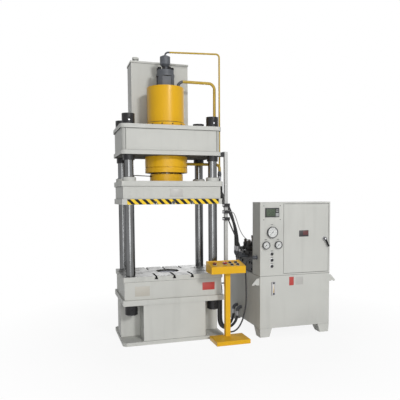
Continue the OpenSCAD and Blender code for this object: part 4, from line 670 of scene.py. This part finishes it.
# Routes of the hoses and cables, in metres, with diameter, finish and stiffness
ROUTES = {
    "pressure_hose": (0.034, "hose", "stiff", (
        (0.594, 0, 1.870), (0.594, 0, 1.790), (0.612, 0, 1.706), (0.652, 0, 1.630), (0.704, 0, 1.560),
        (0.752, 0, 1.490), (0.796, 0, 1.410), (0.834, 0, 1.320), (0.864, 0, 1.222), (0.882, 0, 1.124),
        (0.888, 0, 1.040), (0.888, 0, 0.960))),
    "return_hose": (0.034, "hose", "stiff", (
        (0.676, 0.060, 1.870), (0.676, 0.060, 1.790), (0.690, 0.061, 1.706), (0.726, 0.062, 1.622),
        (0.772, 0.064, 1.540), (0.816, 0.066, 1.450), (0.850, 0.068, 1.352), (0.874, 0.069, 1.250),
        (0.886, 0.070, 1.150), (0.888, 0.070, 1.050), (0.888, 0.070, 0.960))),
    "pilot_hose": (0.016, "hose", "stiff", (
        (0.622, -0.100, 1.870), (0.622, -0.100, 1.790), (0.632, -0.099, 1.690), (0.654, -0.097, 1.586),
        (0.684, -0.094, 1.486), (0.720, -0.090, 1.390), (0.760, -0.086, 1.296), (0.802, -0.082, 1.206),
        (0.846, -0.079, 1.116), (0.876, -0.077, 1.056), (0.888, -0.076, 1.010), (0.888, -0.076, 0.960))),
    "ejector_hose_1": (0.034, "hose", "stiff", (
        (0.605, -0.100, 0.500), (0.605, -0.100, 0.390), (0.605, -0.100, 0.280), (0.605, -0.100, 0.170),
        (0.614, -0.095, 0.108), (0.644, -0.079, 0.056), (0.692, -0.053, 0.024), (0.750, -0.022, 0.018),
        (0.806, 0.008, 0.022), (0.858, 0.036, 0.050), (0.894, 0.055, 0.098), (0.908, 0.060, 0.146),
        (0.908, 0.060, 0.190))),
    "ejector_hose_2": (0.034, "hose", "stiff", (
        (0.650, -0.050, 0.500), (0.650, -0.050, 0.390), (0.650, -0.050, 0.280), (0.650, -0.050, 0.170),
        (0.658, -0.042, 0.108), (0.683, -0.018, 0.056), (0.724, 0.022, 0.024), (0.774, 0.070, 0.018),
        (0.822, 0.116, 0.022), (0.866, 0.160, 0.050), (0.897, 0.189, 0.098), (0.908, 0.200, 0.146),
        (0.908, 0.200, 0.190))),
    "sensor_cable": (0.009, "lead", "medium", (
        (0.697, -0.238, 1.450), (0.722, -0.238, 1.450), (0.748, -0.236, 1.436), (0.770, -0.231, 1.402),
        (0.792, -0.224, 1.350), (0.816, -0.215, 1.288), (0.842, -0.208, 1.228), (0.874, -0.208, 1.172),
        (0.912, -0.215, 1.128), (0.952, -0.222, 1.102), (0.982, -0.224, 1.095), (1.001, -0.224, 1.095))),
    "pedestal_cable": (0.018, "cable", "medium", (
        (0.589, -0.545, 0.110), (0.624, -0.545, 0.110), (0.664, -0.540, 0.124), (0.702, -0.532, 0.154),
        (0.736, -0.522, 0.200), (0.766, -0.512, 0.262), (0.790, -0.502, 0.340), (0.806, -0.490, 0.430),
        (0.814, -0.476, 0.530), (0.817, -0.460, 0.630), (0.818, -0.446, 0.730), (0.820, -0.440, 0.810),
        (0.828, -0.440, 0.858), (0.846, -0.440, 0.896), (0.874, -0.440, 0.919), (0.899, -0.440, 0.925),
        (0.905, -0.440, 0.925))),
}


def smooth_route(points):
    """The route with a point halfway along each stretch, on a smooth curve."""
    points = [Vector(p) for p in points]
    padded = [points[0] * 2 - points[1], *points, points[-1] * 2 - points[-2]]
    made = []
    for a, b, c, d in zip(padded, padded[1:], padded[2:], padded[3:]):
        made += [b, (b + c) * 0.5625 - (a + d) * 0.0625]
    return [*made, points[-1]]


class BuildCords(Operator):
    """Hangs the hoses and cables"""

    bl_idname = "press.cords"
    bl_label = "Hoses and cables"

    def execute(self, context):
        for node, (diameter, finish, stiffness, points) in ROUTES.items():
            route = smooth_route(points)
            curve = bpy.data.curves.new(node + "_line", "CURVE")
            curve.dimensions = "3D"
            curve.bevel_depth = diameter / 2
            curve.bevel_resolution = 5
            curve.resolution_u = 6
            curve.use_fill_caps = True
            spline = curve.splines.new("BEZIER")
            spline.bezier_points.add(len(route) - 1)
            for knot, point in zip(spline.bezier_points, route):
                knot.co = point
                knot.handle_left_type = knot.handle_right_type = "AUTO"
            curve.materials.append(FINISHES[finish])
            made = bpy.data.objects.new(node + "_line", curve)
            bpy.context.scene.collection.objects.link(made)
            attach(made, BODY_OF[node])
            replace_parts(made, node)
        return {"FINISHED"}


class FinishSolids(Operator):
    """Gives every solid its finish, and softens the edges of plates, sheets and turned parts"""

    bl_idname = "press.solids"
    bl_label = "Solids"

    def execute(self, context):
        sizes = context.scene.press_sizes
        for node, thing in frame["nodes"].items():
            thing.data.materials.clear()
            thing.data.materials.append(FINISHES[FINISH_OF[node]])
            smooth_mesh(thing.data)
        for nodes, radius in ((PLATES, sizes.edge), (SHEETS, sizes.sheet_edge), (TURNED, sizes.turned_edge)):
            for node in nodes:
                self.soft_copy(node, radius)
        return {"FINISHED"}

    def soft_copy(self, node, radius):
        bm = bmesh.new()
        bm.from_mesh(frame["nodes"][node].data)
        bmesh.ops.remove_doubles(bm, verts=bm.verts, dist=2e-5)
        bmesh.ops.dissolve_limit(bm, angle_limit=math.radians(1), verts=bm.verts, edges=bm.edges)
        sharp = [e for e in bm.edges if len(e.link_faces) == 2 and e.calc_face_angle(0) > math.radians(30)]
        soften(bm, sharp, radius)
        made = piece(node + "_softened", bm, FINISH_OF[node], BODY_OF[node])
        flat = made.modifiers.new("even_faces", "WEIGHTED_NORMAL")
        flat.keep_sharp = True
        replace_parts(made, node)


class BuildFasteners(Operator):
    """Screws on the cylinder, the ram, the valve, the bushes and the nuts, bright zinc on the upper nuts as a painted
    highlight, and a black bead over the ring nut as painted shade of its gap
    """

    bl_idname = "press.fasteners"
    bl_label = "Fasteners"

    def execute(self, context):
        cylinder_radius, cylinder_top, valve_flange = 0.2125, 2.875, 3.076
        upper_nut, lower_nut, nut_radius = 2.4535, 0.390, 0.0675
        fixed, moving, bolts, upper, lower = shells(5)
        low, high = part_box("cylinder_gland")
        for at in ring_points((0, 0, low.z), high.x - 0.050, 16):
            add_socket_screw(fixed, at, -UP, 0.013, 0.005)
        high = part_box("ram_flange")[1]
        for at in ring_points((0, 0, high.z), high.x - 0.026, 12, 0.2):
            add_socket_screw(moving, at, UP, 0.014, 0.016)
        for at in ring_points((0, 0, valve_flange), 0.080, 8, math.pi / 8):
            add_socket_screw(bolts, at, UP, 0.019, 0.030)
        piece("valve_bolts", bolts, "bolt")
        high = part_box("cylinder_ring_nut")[1]
        # Painted shade: a black bead over the ring nut stands in for the dark gap where the nut meets the cylinder.
        bead = [(0, 0), (0.006, 0), (0.004, 0.006), (0, 0.008), (0, 0)]
        add_turned(fixed, [(cylinder_radius + out, high.z + rise) for out, rise in bead], (0, 0, 0), UP, 96)
        for at in ring_points((0, 0, high.z - 0.022), high.x, 12, 0.13):
            add_socket_screw(fixed, at, Vector((at.x, at.y, 0)).normalized(), 0.008, 0.003)
        for at in ring_points((0, 0, cylinder_top), 0.116, 8, math.pi / 4):
            add_socket_screw(fixed, at, UP, 0.009, 0.012)
        for y, x in product((-0.024, 0.024), (0.131, 0.165)):
            add_socket_screw(fixed, (x, y, cylinder_top + 0.024), UP, 0.007, 0.010)
        for x, y in COLUMNS:
            for at in ring_points((x, y, BUSH_TOP), 0.063, 6, 0.4):
                add_socket_screw(moving, at, UP, 0.006, 0.006)
        piece("cylinder_screws", fixed, "nut")
        piece("slide_screws", moving, "nut", "slide")
        # The screws on the upper and lower nuts are alike: those on the upper nuts are bright zinc as a painted
        # highlight, those on the lower nuts black.
        for (x, y), side, (bm, z) in product(COLUMNS, (-1, 1), ((upper, upper_nut), (lower, lower_nut))):
            add_socket_screw(bm, (x, y + side * nut_radius, z), FRONT * -side, 0.009, 0.004)
        piece("upper_nut_screws_painted_highlight", upper, "zinc")
        piece("lower_nut_screws", lower, "nut")
        return {"FINISHED"}


class BuildSlideTrim(Operator):
    """The striped edge, a plain plate and the grease line on the slide"""

    bl_idname = "press.slide_trim"
    bl_label = "Slide trim"

    def execute(self, context):
        sizes = context.scene.press_sizes
        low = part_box("slide_body")[0]
        left, right, bottom, top = -0.510, 0.525, low.z + 0.002, low.z + 0.059
        slots, notch, half = (-0.205, 0, 0.205), low.z + 0.0365, 0.0195
        outline = [(left, top), (left, bottom)]
        for x in slots:
            outline += [(x - half, bottom), (x - half, notch), (x + half, notch), (x + half, bottom)]
        outline += [(right, bottom), (right, top)]
        band, badge, tube = shells(3)
        add_sheet(band, [(x, low.y, z) for x, z in outline], FRONT * sizes.plate)
        piece("slide_stripes", band, "hazard", "slide")
        add_plate(badge, (-0.039, 0.109), (1.627, 1.715), low.y + 0.014, sizes.plate)
        piece("slide_badge", badge, "pale_plate", "slide")
        near, far, radius = Vector((-0.4216, -0.2485, BUSH_TOP)), Vector((-0.187, -0.040, 1.866)), 0.005
        bend = Vector((near.x, near.y, far.z))
        add_bar(tube, near, UP, 0.012, 0.010, 6, 0.001)
        add_bar(tube, near, UP, bend.z - near.z, radius, 16)
        bmesh.ops.create_uvsphere(tube, u_segments=16, v_segments=8, radius=0.0056, matrix=Matrix.Translation(bend))
        add_bar(tube, bend, far - bend, (far - bend).length, radius, 16)
        add_bar(tube, far, bend - far, 0.016, 0.010, 6, 0.001)
        piece("grease_line", tube, "nut", "slide")
        return {"FINISHED"}


class BuildSeams(Operator):
    """Weld seams on the beam, the slide and under the table, and the line between the cabinet and the tank; their dark
    finish also paints the shade lines under the plates' lips
    """

    bl_idname = "press.seams"
    bl_label = "Weld seams"

    def execute(self, context):
        sizes = context.scene.press_sizes
        beam, slide = shells(2)
        low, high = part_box("upper_beam")
        for z in (high.z - 0.045, low.z + 0.045):
            self.run(beam, low, high, 0.014, z, sizes.seam, 0.060)
        for x in (-0.512, 0.512):
            add_bar(beam, (x, low.y + 0.014, low.z + 0.045), UP, 0.235, sizes.seam, 10)
        low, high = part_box("slide_body")
        for z in (high.z - 0.057, low.z + 0.062):
            self.run(slide, low, high, 0.014, z, sizes.seam, 0.0)
        low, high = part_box("table_plate")
        self.run(beam, low, high, 0.010, low.z, sizes.seam, 0.0)
        self.joint_line(beam, sizes)
        piece("frame_seams", beam, "seam")
        piece("slide_seams", slide, "seam", "slide")
        return {"FINISHED"}

    def joint_line(self, bm, sizes):
        """The line where the cabinet stands on the tank."""
        low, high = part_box("control_cabinet")
        out, half = sizes.plate / 2, 0.0025
        add_block(bm, (low.x, low.y - out, low.z - half), (high.x, low.y + 0.001, low.z + half))
        for x in (low.x, high.x):
            add_block(bm, (x - out, low.y, low.z - half), (x + out, high.y, low.z + half))

    def run(self, bm, low, high, lip, z, radius, corner):
        """A bead round a web at one height, short of its rounded corners."""
        for y in (low.y + lip, high.y - lip):
            add_bar(bm, (low.x + lip + corner, y, z), RIGHT, high.x - low.x - 2 * (lip + corner), radius, 10)
        for x in (low.x + lip, high.x - lip):
            add_bar(bm, (x, low.y + lip + corner, z), -FRONT, high.y - low.y - 2 * (lip + corner), radius, 10)


class BuildOilTank(Operator):
    """The oil tank to its full depth, with its tapered feet and lifting hooks"""

    bl_idname = "press.oil_tank"
    bl_label = "Oil tank"

    def execute(self, context):
        sizes = context.scene.press_sizes
        low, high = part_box("control_cabinet")
        left, right, front, back, top = low.x, high.x, low.y, sizes.tank_back, low.z
        foot_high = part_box("oil_tank")[0].z + 0.102
        tank = bmesh.new()
        add_block(tank, (left, front, foot_high), (right, back, top), sizes.edge)
        for corner in product((left, right), (front, back)):
            self.foot(tank, Vector((*corner, 0)), (left + right) / 2, (front + back) / 2, foot_high)
        for y in (front + 0.020, back - 0.034):
            self.hook(tank, left, -1, y)
            self.hook(tank, right, 1, y)
        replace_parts(piece("oil_tank_deep", tank, "grey"), "oil_tank")
        return {"FINISHED"}

    def foot(self, bm, corner, middle_x, middle_y, high):
        """A foot in a corner, narrower on the floor than where it meets the tank."""
        wide, deep, step = 0.150, 0.180, 0.006
        inward = Vector((math.copysign(wide, middle_x - corner.x), math.copysign(deep, middle_y - corner.y), high))
        place = Matrix.Translation(corner + inward / 2) @ Matrix.Diagonal((*(abs(side) for side in inward), 1))
        corners = bmesh.ops.create_cube(bm, size=1, matrix=place)["verts"]
        soles = [v for v in corners if v.co.z < high / 2]
        bmesh.ops.scale(bm, vec=(0.76, 0.66, 1), verts=soles, space=Matrix.Translation(-corner))
        bmesh.ops.translate(bm, vec=(math.copysign(step, inward.x), math.copysign(step, inward.y), 0), verts=soles)

    def hook(self, bm, wall, side, y):
        """A lifting hook on a wall, with a round notch from below."""
        reach, root, tip, foot, centre, notch = 0.088, 0.690, 0.624, 0.610, 0.052, 0.013
        turns = [math.pi * i / 8 for i in range(9)]
        arc = [(centre - notch * math.cos(turn), foot + notch * math.sin(turn)) for turn in turns]
        outline = [(0, root), (0, foot), *arc, (reach, foot), (reach, tip), (0.030, root)]
        add_sheet(bm, [(wall + side * out, y, z) for out, z in outline], (0, 0.014, 0))


class BuildValveStack(Operator):
    """Pilot valves with their plugs on the manifold, and the rear part of the block"""

    bl_idname = "press.valve_stack"
    bl_label = "Valve stack"

    def execute(self, context):
        low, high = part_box("manifold_block")
        mid = (low.x + high.x) / 2
        iron, plugs, heads = shells(3)
        back = high.y + 0.002
        add_block(iron, (low.x, back, low.z), (high.x, back + 0.215, high.z - 0.035), 0.003)
        for y in (back + 0.050, back + 0.110, back + 0.170):
            for z in (low.z + 0.060, low.z + 0.140):
                add_hex(heads, (low.x, y, z), -RIGHT, 0.030, 0.016)
            add_bar(iron, (mid, y, high.z - 0.035), UP, 0.040, 0.021, 24, 0.003)
            add_hex(heads, (mid, y, high.z + 0.005), UP, 0.024, 0.014)
        foot, axis, top, half = 1.027, 1.050, 1.073, 0.026
        for y in VALVE_ROWS:
            add_block(iron, (mid - half, y - half, foot), (mid + half, y + half, top), 0.003)
            for side in (-1, 1):
                add_bar(iron, (mid + side * half, y, axis), RIGHT * side, 0.046, 0.021, 24, 0.003)
                x = mid + side * 0.050
                add_block(plugs, (x - 0.015, y - 0.015, 1.060), (x + 0.015, y + 0.015, 1.106), 0.004)
                for dy in (-0.018, 0.018):
                    add_socket_screw(heads, (mid + side * 0.018, y + dy, top), UP, 0.004, 0.005)
        add_bar(plugs, (mid, VALVE_ROWS[0], top), UP, 0.050, 0.015, 24, 0.002)
        add_bar(plugs, (mid, VALVE_ROWS[0], top + 0.050), UP, 0.034, 0.021, 12, 0.003)
        piece("pilot_valves", iron, "valve")
        piece("pilot_plugs", plugs, "plug")
        piece("pilot_screws", heads, "nut")
        return {"FINISHED"}


class BuildPlates(Operator):
    """Plain plates on the bed, the door, the tank and the panel, and the ring of the door handle"""

    bl_idname = "press.plates"
    bl_label = "Plates"

    def execute(self, context):
        thick = context.scene.press_sizes.plate
        unit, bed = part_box("oil_tank")[0].y, -0.352
        for name, finish, body, wide, tall, y in (
            ("bed_red_plate", "red_plate", "frame", (0.326, 0.472), (0.567, 0.655), bed),
            ("bed_pale_plate", "beige_plate", "frame", (-0.443, -0.279), (0.541, 0.651), bed),
            ("tank_red_plate", "red_plate", "frame", (1.327, 1.386), (0.591, 0.691), unit),
            ("tank_grey_plate", "pale_plate", "frame", (1.408, 1.508), (0.595, 0.687), unit),
            ("door_plate", "dark_plate", "door", (1.451, 1.574), (1.158, 1.232), unit),
            ("door_red_plate", "maroon_plate", "door", (1.501, 1.571), (1.178, 1.229), unit - thick),
        ):
            bm = bmesh.new()
            add_plate(bm, wide, tall, y, thick)
            piece(name, bm, finish, body)
        strips, ring = shells(2)
        half_wide, half_tall = 0.014, 0.004
        for x, z in ((1.105, 1.306), (1.0285, 1.136), (1.1815, 1.136), (1.105, 1.005), (1.105, 0.930), (1.105, 0.858)):
            add_plate(strips, (x - half_wide, x + half_wide), (z - half_tall, z + half_tall), unit, thick)
        piece("panel_label_strips", strips, "grey_strip")
        low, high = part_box("door_handle")
        boss = Vector((low.x + 0.017, unit, high.z - 0.017))
        bore, foot, top = 0.0175, 0.0005, 0.014
        add_turned(ring, [(bore, foot), (0.0245, foot), (0.0245, 0.006), (0.0215, top), (bore, top), (bore, foot)],
                   boss, FRONT, 36)
        cap = [(0, 0.0025), (0.010, 0.0025), (0.012, 0.0015), (0.012, 0)]
        add_turned(ring, cap, (boss.x, low.y, boss.z), FRONT, 24)
        piece("handle_ring", ring, "zinc", BODY_OF["door_handle"])
        return {"FINISHED"}


class BuildGauges(Operator):
    """Dials with ticks and figures, and the glass over them"""

    bl_idname = "press.gauges"
    bl_label = "Gauges"

    def execute(self, context):
        sizes = context.scene.press_sizes
        card, ink, glass = shells(3)
        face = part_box("pressure_gauges")[0].y
        for x, z, radius, step in ((1.105, 1.219, 0.057, 10), (1.0285, 1.073, 0.037, 5), (1.1815, 1.073, 0.037, 5)):
            floor, rim, thick = Vector((x, face + 0.008, z)), radius - 0.0002, 0.0004
            add_ring(card, 0.003, rim, thick, floor, FRONT, 64)
            upright = Matrix.Translation(floor + FRONT * thick) @ Matrix.Rotation(math.pi / 2, 4, "X")
            for i in range(sizes.ticks + 1):
                major = i % 5 == 0
                long, wide = radius * (0.17 if major else 0.09), radius * (0.026 if major else 0.014)
                turn = Matrix.Rotation(math.radians(225 - 270 * i / sizes.ticks), 4, "Z")
                place = upright @ turn @ Matrix.Translation((radius * 0.93 - long / 2, 0, 0.00008))
                bmesh.ops.create_cube(ink, size=1, matrix=place @ Matrix.Diagonal((long, wide, 0.00016, 1)))
                if major:
                    at = turn @ Vector((radius * 0.62, 0, 0.00004))
                    add_figures(ink, str(i // 5 * step), radius * 0.21, upright @ Matrix.Translation(at))
            pane = [(0, 0), (rim, 0), (rim, 0.0012), (0, 0.0012)]
            add_turned(glass, pane, (x, face + 0.0022, z), FRONT, 64)
        piece("gauge_dials", card, "dial")
        piece("gauge_marks", ink, "ink")
        piece("gauge_glasses", glass, "glass")
        return {"FINISHED"}


class BuildDisplay(Operator):
    """The screen, its keypad and the screws of its plate"""

    bl_idname = "press.display"
    bl_label = "Display"

    def execute(self, context):
        low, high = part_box("display_unit")
        screen, keys, pad, screws = shells(4)
        rim, pitch, key = 0.0105, 0.0115, 0.009
        add_block(screen, (low.x + rim, low.y + 0.0008, low.z + rim), (low.x + 0.1215, low.y + 0.002, high.z - rim),
                  0.0004)
        add_block(pad, (high.x - 0.044, low.y - 0.0008, low.z + 0.008),
                  (high.x - 0.006, low.y + 0.0002, low.z + 0.046), 0.0004)
        for row, column in product(range(3), range(3)):
            x, z = high.x - 0.041 + column * pitch, low.z + 0.011 + row * pitch
            add_block(keys, (x, low.y - 0.0028, z), (x + key, low.y - 0.0006, z + key), 0.0006)
        for row in range(2):
            x, z = high.x - 0.040, low.z + 0.062 + row * 0.016
            add_block(keys, (x, low.y - 0.0016, z), (x + 0.030, low.y + 0.0002, z + 0.008), 0.0004)
        for x, z in product((1.003, 1.207), (1.363, 1.522)):
            add_socket_screw(screws, (x, high.y, z), FRONT, 0.005, 0.003)
        piece("display_screen", screen, "screen")
        piece("display_keypad", pad, "duct")
        piece("display_keys", keys, "key")
        piece("panel_screws", screws, "nut")
        return {"FINISHED"}


class BuildLevelGauge(Operator):
    """The sight glass, its marks, the oil behind it and two screws"""

    bl_idname = "press.level_gauge"
    bl_label = "Oil level gauge"

    def execute(self, context):
        low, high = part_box("oil_level_gauge")
        mid = (low.x + high.x) / 2
        oil, pane, marks, screws = shells(4)
        for bm, half, end, front, back, edge in ((oil, 0.0095, 0.0255, 0.006, 0.0088, 0.001),
                                                 (pane, 0.0098, 0.0252, 0.001, 0.003, 0.0006)):
            add_block(bm, (mid - half, low.y + front, low.z + end), (mid + half, low.y + back, high.z - end), edge)
        for i in range(9):
            z = low.z + 0.033 + i * 0.0105
            add_block(marks, (mid - 0.019, low.y - 0.0004, z), (mid - 0.012, low.y + 0.0002, z + 0.0012))
        for z in (low.z + 0.0125, high.z - 0.0125):
            add_hex(screws, (mid, low.y, z), FRONT, 0.017, 0.008)
        piece("sight_oil", oil, "oil")
        piece("sight_glass", pane, "glass")
        piece("sight_marks", marks, "ink")
        piece("sight_screws", screws, "nut")
        return {"FINISHED"}


class BuildConsoleTrim(Operator):
    """Rings round the push buttons, with plain plates and screws on the console"""

    bl_idname = "press.console_trim"
    bl_label = "Console trim"

    def execute(self, context):
        corner, rise, run = (0.340, -0.660, 0.868), 0.042, 0.212
        panel = Matrix.Translation(corner) @ Matrix.Rotation(math.atan2(rise, run), 4, "X")
        out = (panel.to_3x3() @ UP).normalized()
        rings, strips, screws, panel_rings = shells(4)
        for x, s, plate in ((0.066, 0.096, 0.034), (0.186, 0.100, 0.040), (0.256, 0.134, 0.022), (0.324, 0.134, 0.022),
                            (0.256, 0.062, 0.022), (0.324, 0.062, 0.022)):
            foot = panel @ Vector((x, s, -0.006))
            add_ring(rings, COLLAR_RADIUS, 0.0225, 0.003, foot, out, 36, 0.001)
            place = panel @ Matrix.Translation((x, s - 0.034, -0.0055))
            bmesh.ops.create_cube(strips, size=1, matrix=place @ Matrix.Diagonal((plate, 0.009, 0.001, 1)))
        for x, s in product((0.006, 0.390), (0.006, 0.210)):
            add_socket_screw(screws, panel @ Vector((x, s, 0)), out, 0.0035, 0.002)
        piece("console_rings", rings, "zinc")
        piece("console_strips", strips, "grey_strip")
        piece("console_screws", screws, "nut")
        cone = [(COLLAR_RADIUS, 0), (0.021, 0), (0.021, 0.0015), (COLLAR_RADIUS, 0.0025), (COLLAR_RADIUS, 0)]
        column, front = 1.105, -0.535
        for z in (0.970, 0.899, 0.828):
            add_turned(panel_rings, cone, (column, front, z), FRONT, 36)
        piece("panel_rings", panel_rings, "zinc")
        return {"FINISHED"}


class BuildHydraulicTrim(Operator):
    """Crimped sleeves on the hoses, plugs and screws on the manifold, and the motor's small parts"""

    bl_idname = "press.hydraulic_trim"
    bl_label = "Hydraulic trim"

    def execute(self, context):
        sleeves, plugs, cowl = shells(3)
        for node in ("pressure_hose", "return_hose", "pilot_hose", "ejector_hose_1", "ejector_hose_2"):
            diameter, _, _, route = ROUTES[node]
            for end, inner in ((route[0], route[1]), (route[-1], route[-2])):
                self.sleeve(sleeves, Vector(end), (Vector(inner) - Vector(end)).normalized(), diameter / 2)
        low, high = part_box("manifold_block")
        # About every third port has no plug
        for (i, y), z in product(enumerate((-0.225, -0.150, 0.030, 0.085)), (0.760, 0.830, 0.945)):
            if (i + round(z * 1000) // 5) % 3:
                add_hex(plugs, (low.x, y, z), -RIGHT, 0.026, 0.014)
        for x in (low.x + 0.025, high.x - 0.025):
            for z in (low.z + 0.03, low.z + 0.11, low.z + 0.19):
                add_hex(plugs, (x, low.y, z), FRONT, 0.024, 0.012)
            for y in (low.y + 0.012, high.y - 0.014):
                add_socket_screw(plugs, (x, y, high.z), UP, 0.010, 0.012)
        middle, reach, height = 1.046, 0.085, 0.996
        for y, side in product(VALVE_ROWS, (-1, 1)):
            add_hex(plugs, (middle + side * reach, y, height), RIGHT * side, 0.026, 0.010)
        low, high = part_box("electric_motor")
        axis = Vector((high.x, (low.y + high.y) / 2, 0.875))
        for radius in (0.030, 0.050, 0.070, 0.090, 0.108):
            add_ring(cowl, radius - 0.003, radius + 0.003, 0.003, axis, RIGHT, 48)
        spoke = Matrix.Translation((0.0015, 0, 0.066)) @ Matrix.Diagonal((0.003, 0.006, 0.09, 1))
        for i in range(8):
            turn = Matrix.Translation(axis) @ Matrix.Rotation(math.tau * i / 8, 4, "X")
            bmesh.ops.create_cube(cowl, size=1, matrix=turn @ spoke)
        for y, x in product((-0.08, 0.08), (low.x + 0.092, high.x - 0.092)):
            add_hex(plugs, (x, axis.y + y, 0.735), UP, 0.020, 0.012)
        for y, x in product((-0.048, 0.048), (0.012, 0.108)):
            add_socket_screw(plugs, (low.x + 0.110 + x, axis.y + y, high.z), UP, 0.005, 0.004)
        circle = 0.090
        for x, i in product((low.x - 0.020, low.x - 0.110), range(8)):
            turn = math.tau * (i + 0.5) / 8
            at = Vector((x, axis.y + circle * math.cos(turn), axis.z + circle * math.sin(turn)))
            add_hex(plugs, at, -RIGHT, 0.016, 0.009)
        piece("hose_sleeves", sleeves, "zinc")
        piece("manifold_plugs", plugs, "nut")
        piece("motor_grille", cowl, "nut")
        return {"FINISHED"}

    def sleeve(self, bm, end, inward, radius):
        """A crimped sleeve over the last stretch of a hose."""
        skin, length = radius + 0.0035, radius * 3.4
        groove = skin - 0.0016
        profile = [(radius - 0.001, 0), (skin, 0)]
        for i in range(5):
            z = length * (0.12 + 0.17 * i)
            profile += [(skin, z), (groove, z + length * 0.03), (groove, z + length * 0.07), (skin, z + length * 0.10)]
        profile += [(skin, length * 0.97), (radius - 0.001, length)]
        add_turned(bm, profile, end, inward, 24)


class BuildCabinetGear(Operator):
    """Covers, ducts and wires on the mounting plate behind the door"""

    bl_idname = "press.cabinet_gear"
    bl_label = "Cabinet gear"

    def execute(self, context):
        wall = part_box("electrical_panel")[1].y - 0.004
        pale, dark, duct, wires, red = shells(5)
        def cover(bm, wide, tall, out, radius=0.0, foot=0.0):
            add_block(bm, (wide[0], wall - out, tall[0]), (wide[1], wall - foot, tall[1]), radius)

        def leads(places, tall, out, below, above):
            for x in places:
                add_bar(wires, (x, wall - out, tall[0]), -UP, below, 0.0022, 10)
                add_bar(wires, (x, wall - out, tall[1]), UP, above, 0.0022, 10)

        left, skin = 1.334, 0.0006
        for i in range(6):
            x, tall = left + i * 0.0728, (1.3604, 1.4616)
            cover(pale, (x - skin, x + 0.0606), tall, 0.0706, 0.002)
            cover(dark, (x + 0.016, x + 0.044), (1.398, 1.424), 0.082, 0.003, 0.070)
            leads((x + 0.012, x + 0.030, x + 0.048), tall, 0.050, 0.030, 0.022)
        for i in range(4):
            x, tall = left + i * 0.11133, (1.1904, 1.3016)
            cover(dark, (x - skin, x + 0.0906), tall, 0.0806, 0.003)
            cover(pale, (x + 0.022, x + 0.068), (1.226, 1.266), 0.0816, 0.001, 0.080)
            leads((x + 0.015, x + 0.045, x + 0.075), tall, 0.055, 0.028, 0.028)
        cover(pale, (left - skin, 1.5146), (1.0204, 1.1316), 0.0706, 0.003)
        cover(dark, (1.350, 1.420), (1.086, 1.118), 0.0716, 0.001, 0.070)
        for i in range(8):
            cover(dark, (1.440 + i * 0.008, 1.444 + i * 0.008), (1.036, 1.118), 0.0716, 0.0, 0.070)
        for i in range(9):
            x = 1.5745 + i * 0.0205
            cover(pale if i % 3 else red, (x, x + 0.018), (1.026, 1.126), 0.046, 0.001, 0.038)
        for i in range(42):
            x = 1.3345 + i * 0.01008
            cover(pale if i % 6 else red, (x, x + 0.0088), (0.820, 0.864), 0.044, 0.0006, 0.038)
            add_bar(wires, (x + 0.0044, wall - 0.038, 0.866), UP, 0.030, 0.0016, 8)
        for low, high in ((1.312, 1.342), (1.142, 1.172), (0.895, 0.925), (1.472, 1.496)):
            cover(duct, (1.300, 1.792), (low, high), 0.045, 0.001)
            for i in range(60):
                x = 1.304 + i * 0.0081
                cover(duct, (x, x + 0.005), (low + 0.004, high - 0.004), 0.0465, 0.0, 0.045)
        for wide in ((1.298, 1.322), (1.770, 1.794)):
            cover(duct, wide, (0.785, 1.495), 0.045, 0.001)
        piece("gear_covers", pale, "white")
        piece("gear_switches", dark, "plastic")
        piece("gear_ducts", duct, "duct")
        piece("gear_wires", wires, "wire")
        piece("gear_markers", red, "red")
        return {"FINISHED"}


CLASSES = [PressColours, PressSizes]
STEPS = [BuildStage, BuildCords, FinishSolids, BuildFasteners, BuildSeams, BuildSlideTrim, BuildOilTank,
         BuildValveStack, BuildPlates, BuildGauges, BuildDisplay, BuildLevelGauge, BuildConsoleTrim,
         BuildHydraulicTrim, BuildCabinetGear]


class PressPanel(Panel):
    """Lists the steps and the values that they use"""

    bl_idname = "VIEW3D_PT_press"
    bl_label = "Hydraulic press"
    bl_space_type = "VIEW_3D"
    bl_region_type = "UI"
    bl_category = "Press"

    def draw(self, context):
        for group in (context.scene.press_colours, context.scene.press_sizes):
            for name in group.bl_rna.properties.keys():
                if name not in ("rna_type", "name"):
                    self.layout.prop(group, name)
        for step in STEPS:
            self.layout.operator(step.bl_idname)


def register():
    for item in (*CLASSES, *STEPS, PressPanel):
        bpy.utils.register_class(item)
    bpy.types.Scene.press_colours = PointerProperty(type=PressColours)
    bpy.types.Scene.press_sizes = PointerProperty(type=PressSizes)


def unregister():
    del bpy.types.Scene.press_colours
    del bpy.types.Scene.press_sizes
    for item in reversed((*CLASSES, *STEPS, PressPanel)):
        bpy.utils.unregister_class(item)


def main():
    register()
    scene = bpy.context.scene
    FINISHES.update(make_finishes(scene.press_colours, scene.press_sizes))
    for step in STEPS:
        group, name = step.bl_idname.split(".")
        getattr(getattr(bpy.ops, group), name)()


if __name__ == "__main__":
    main()
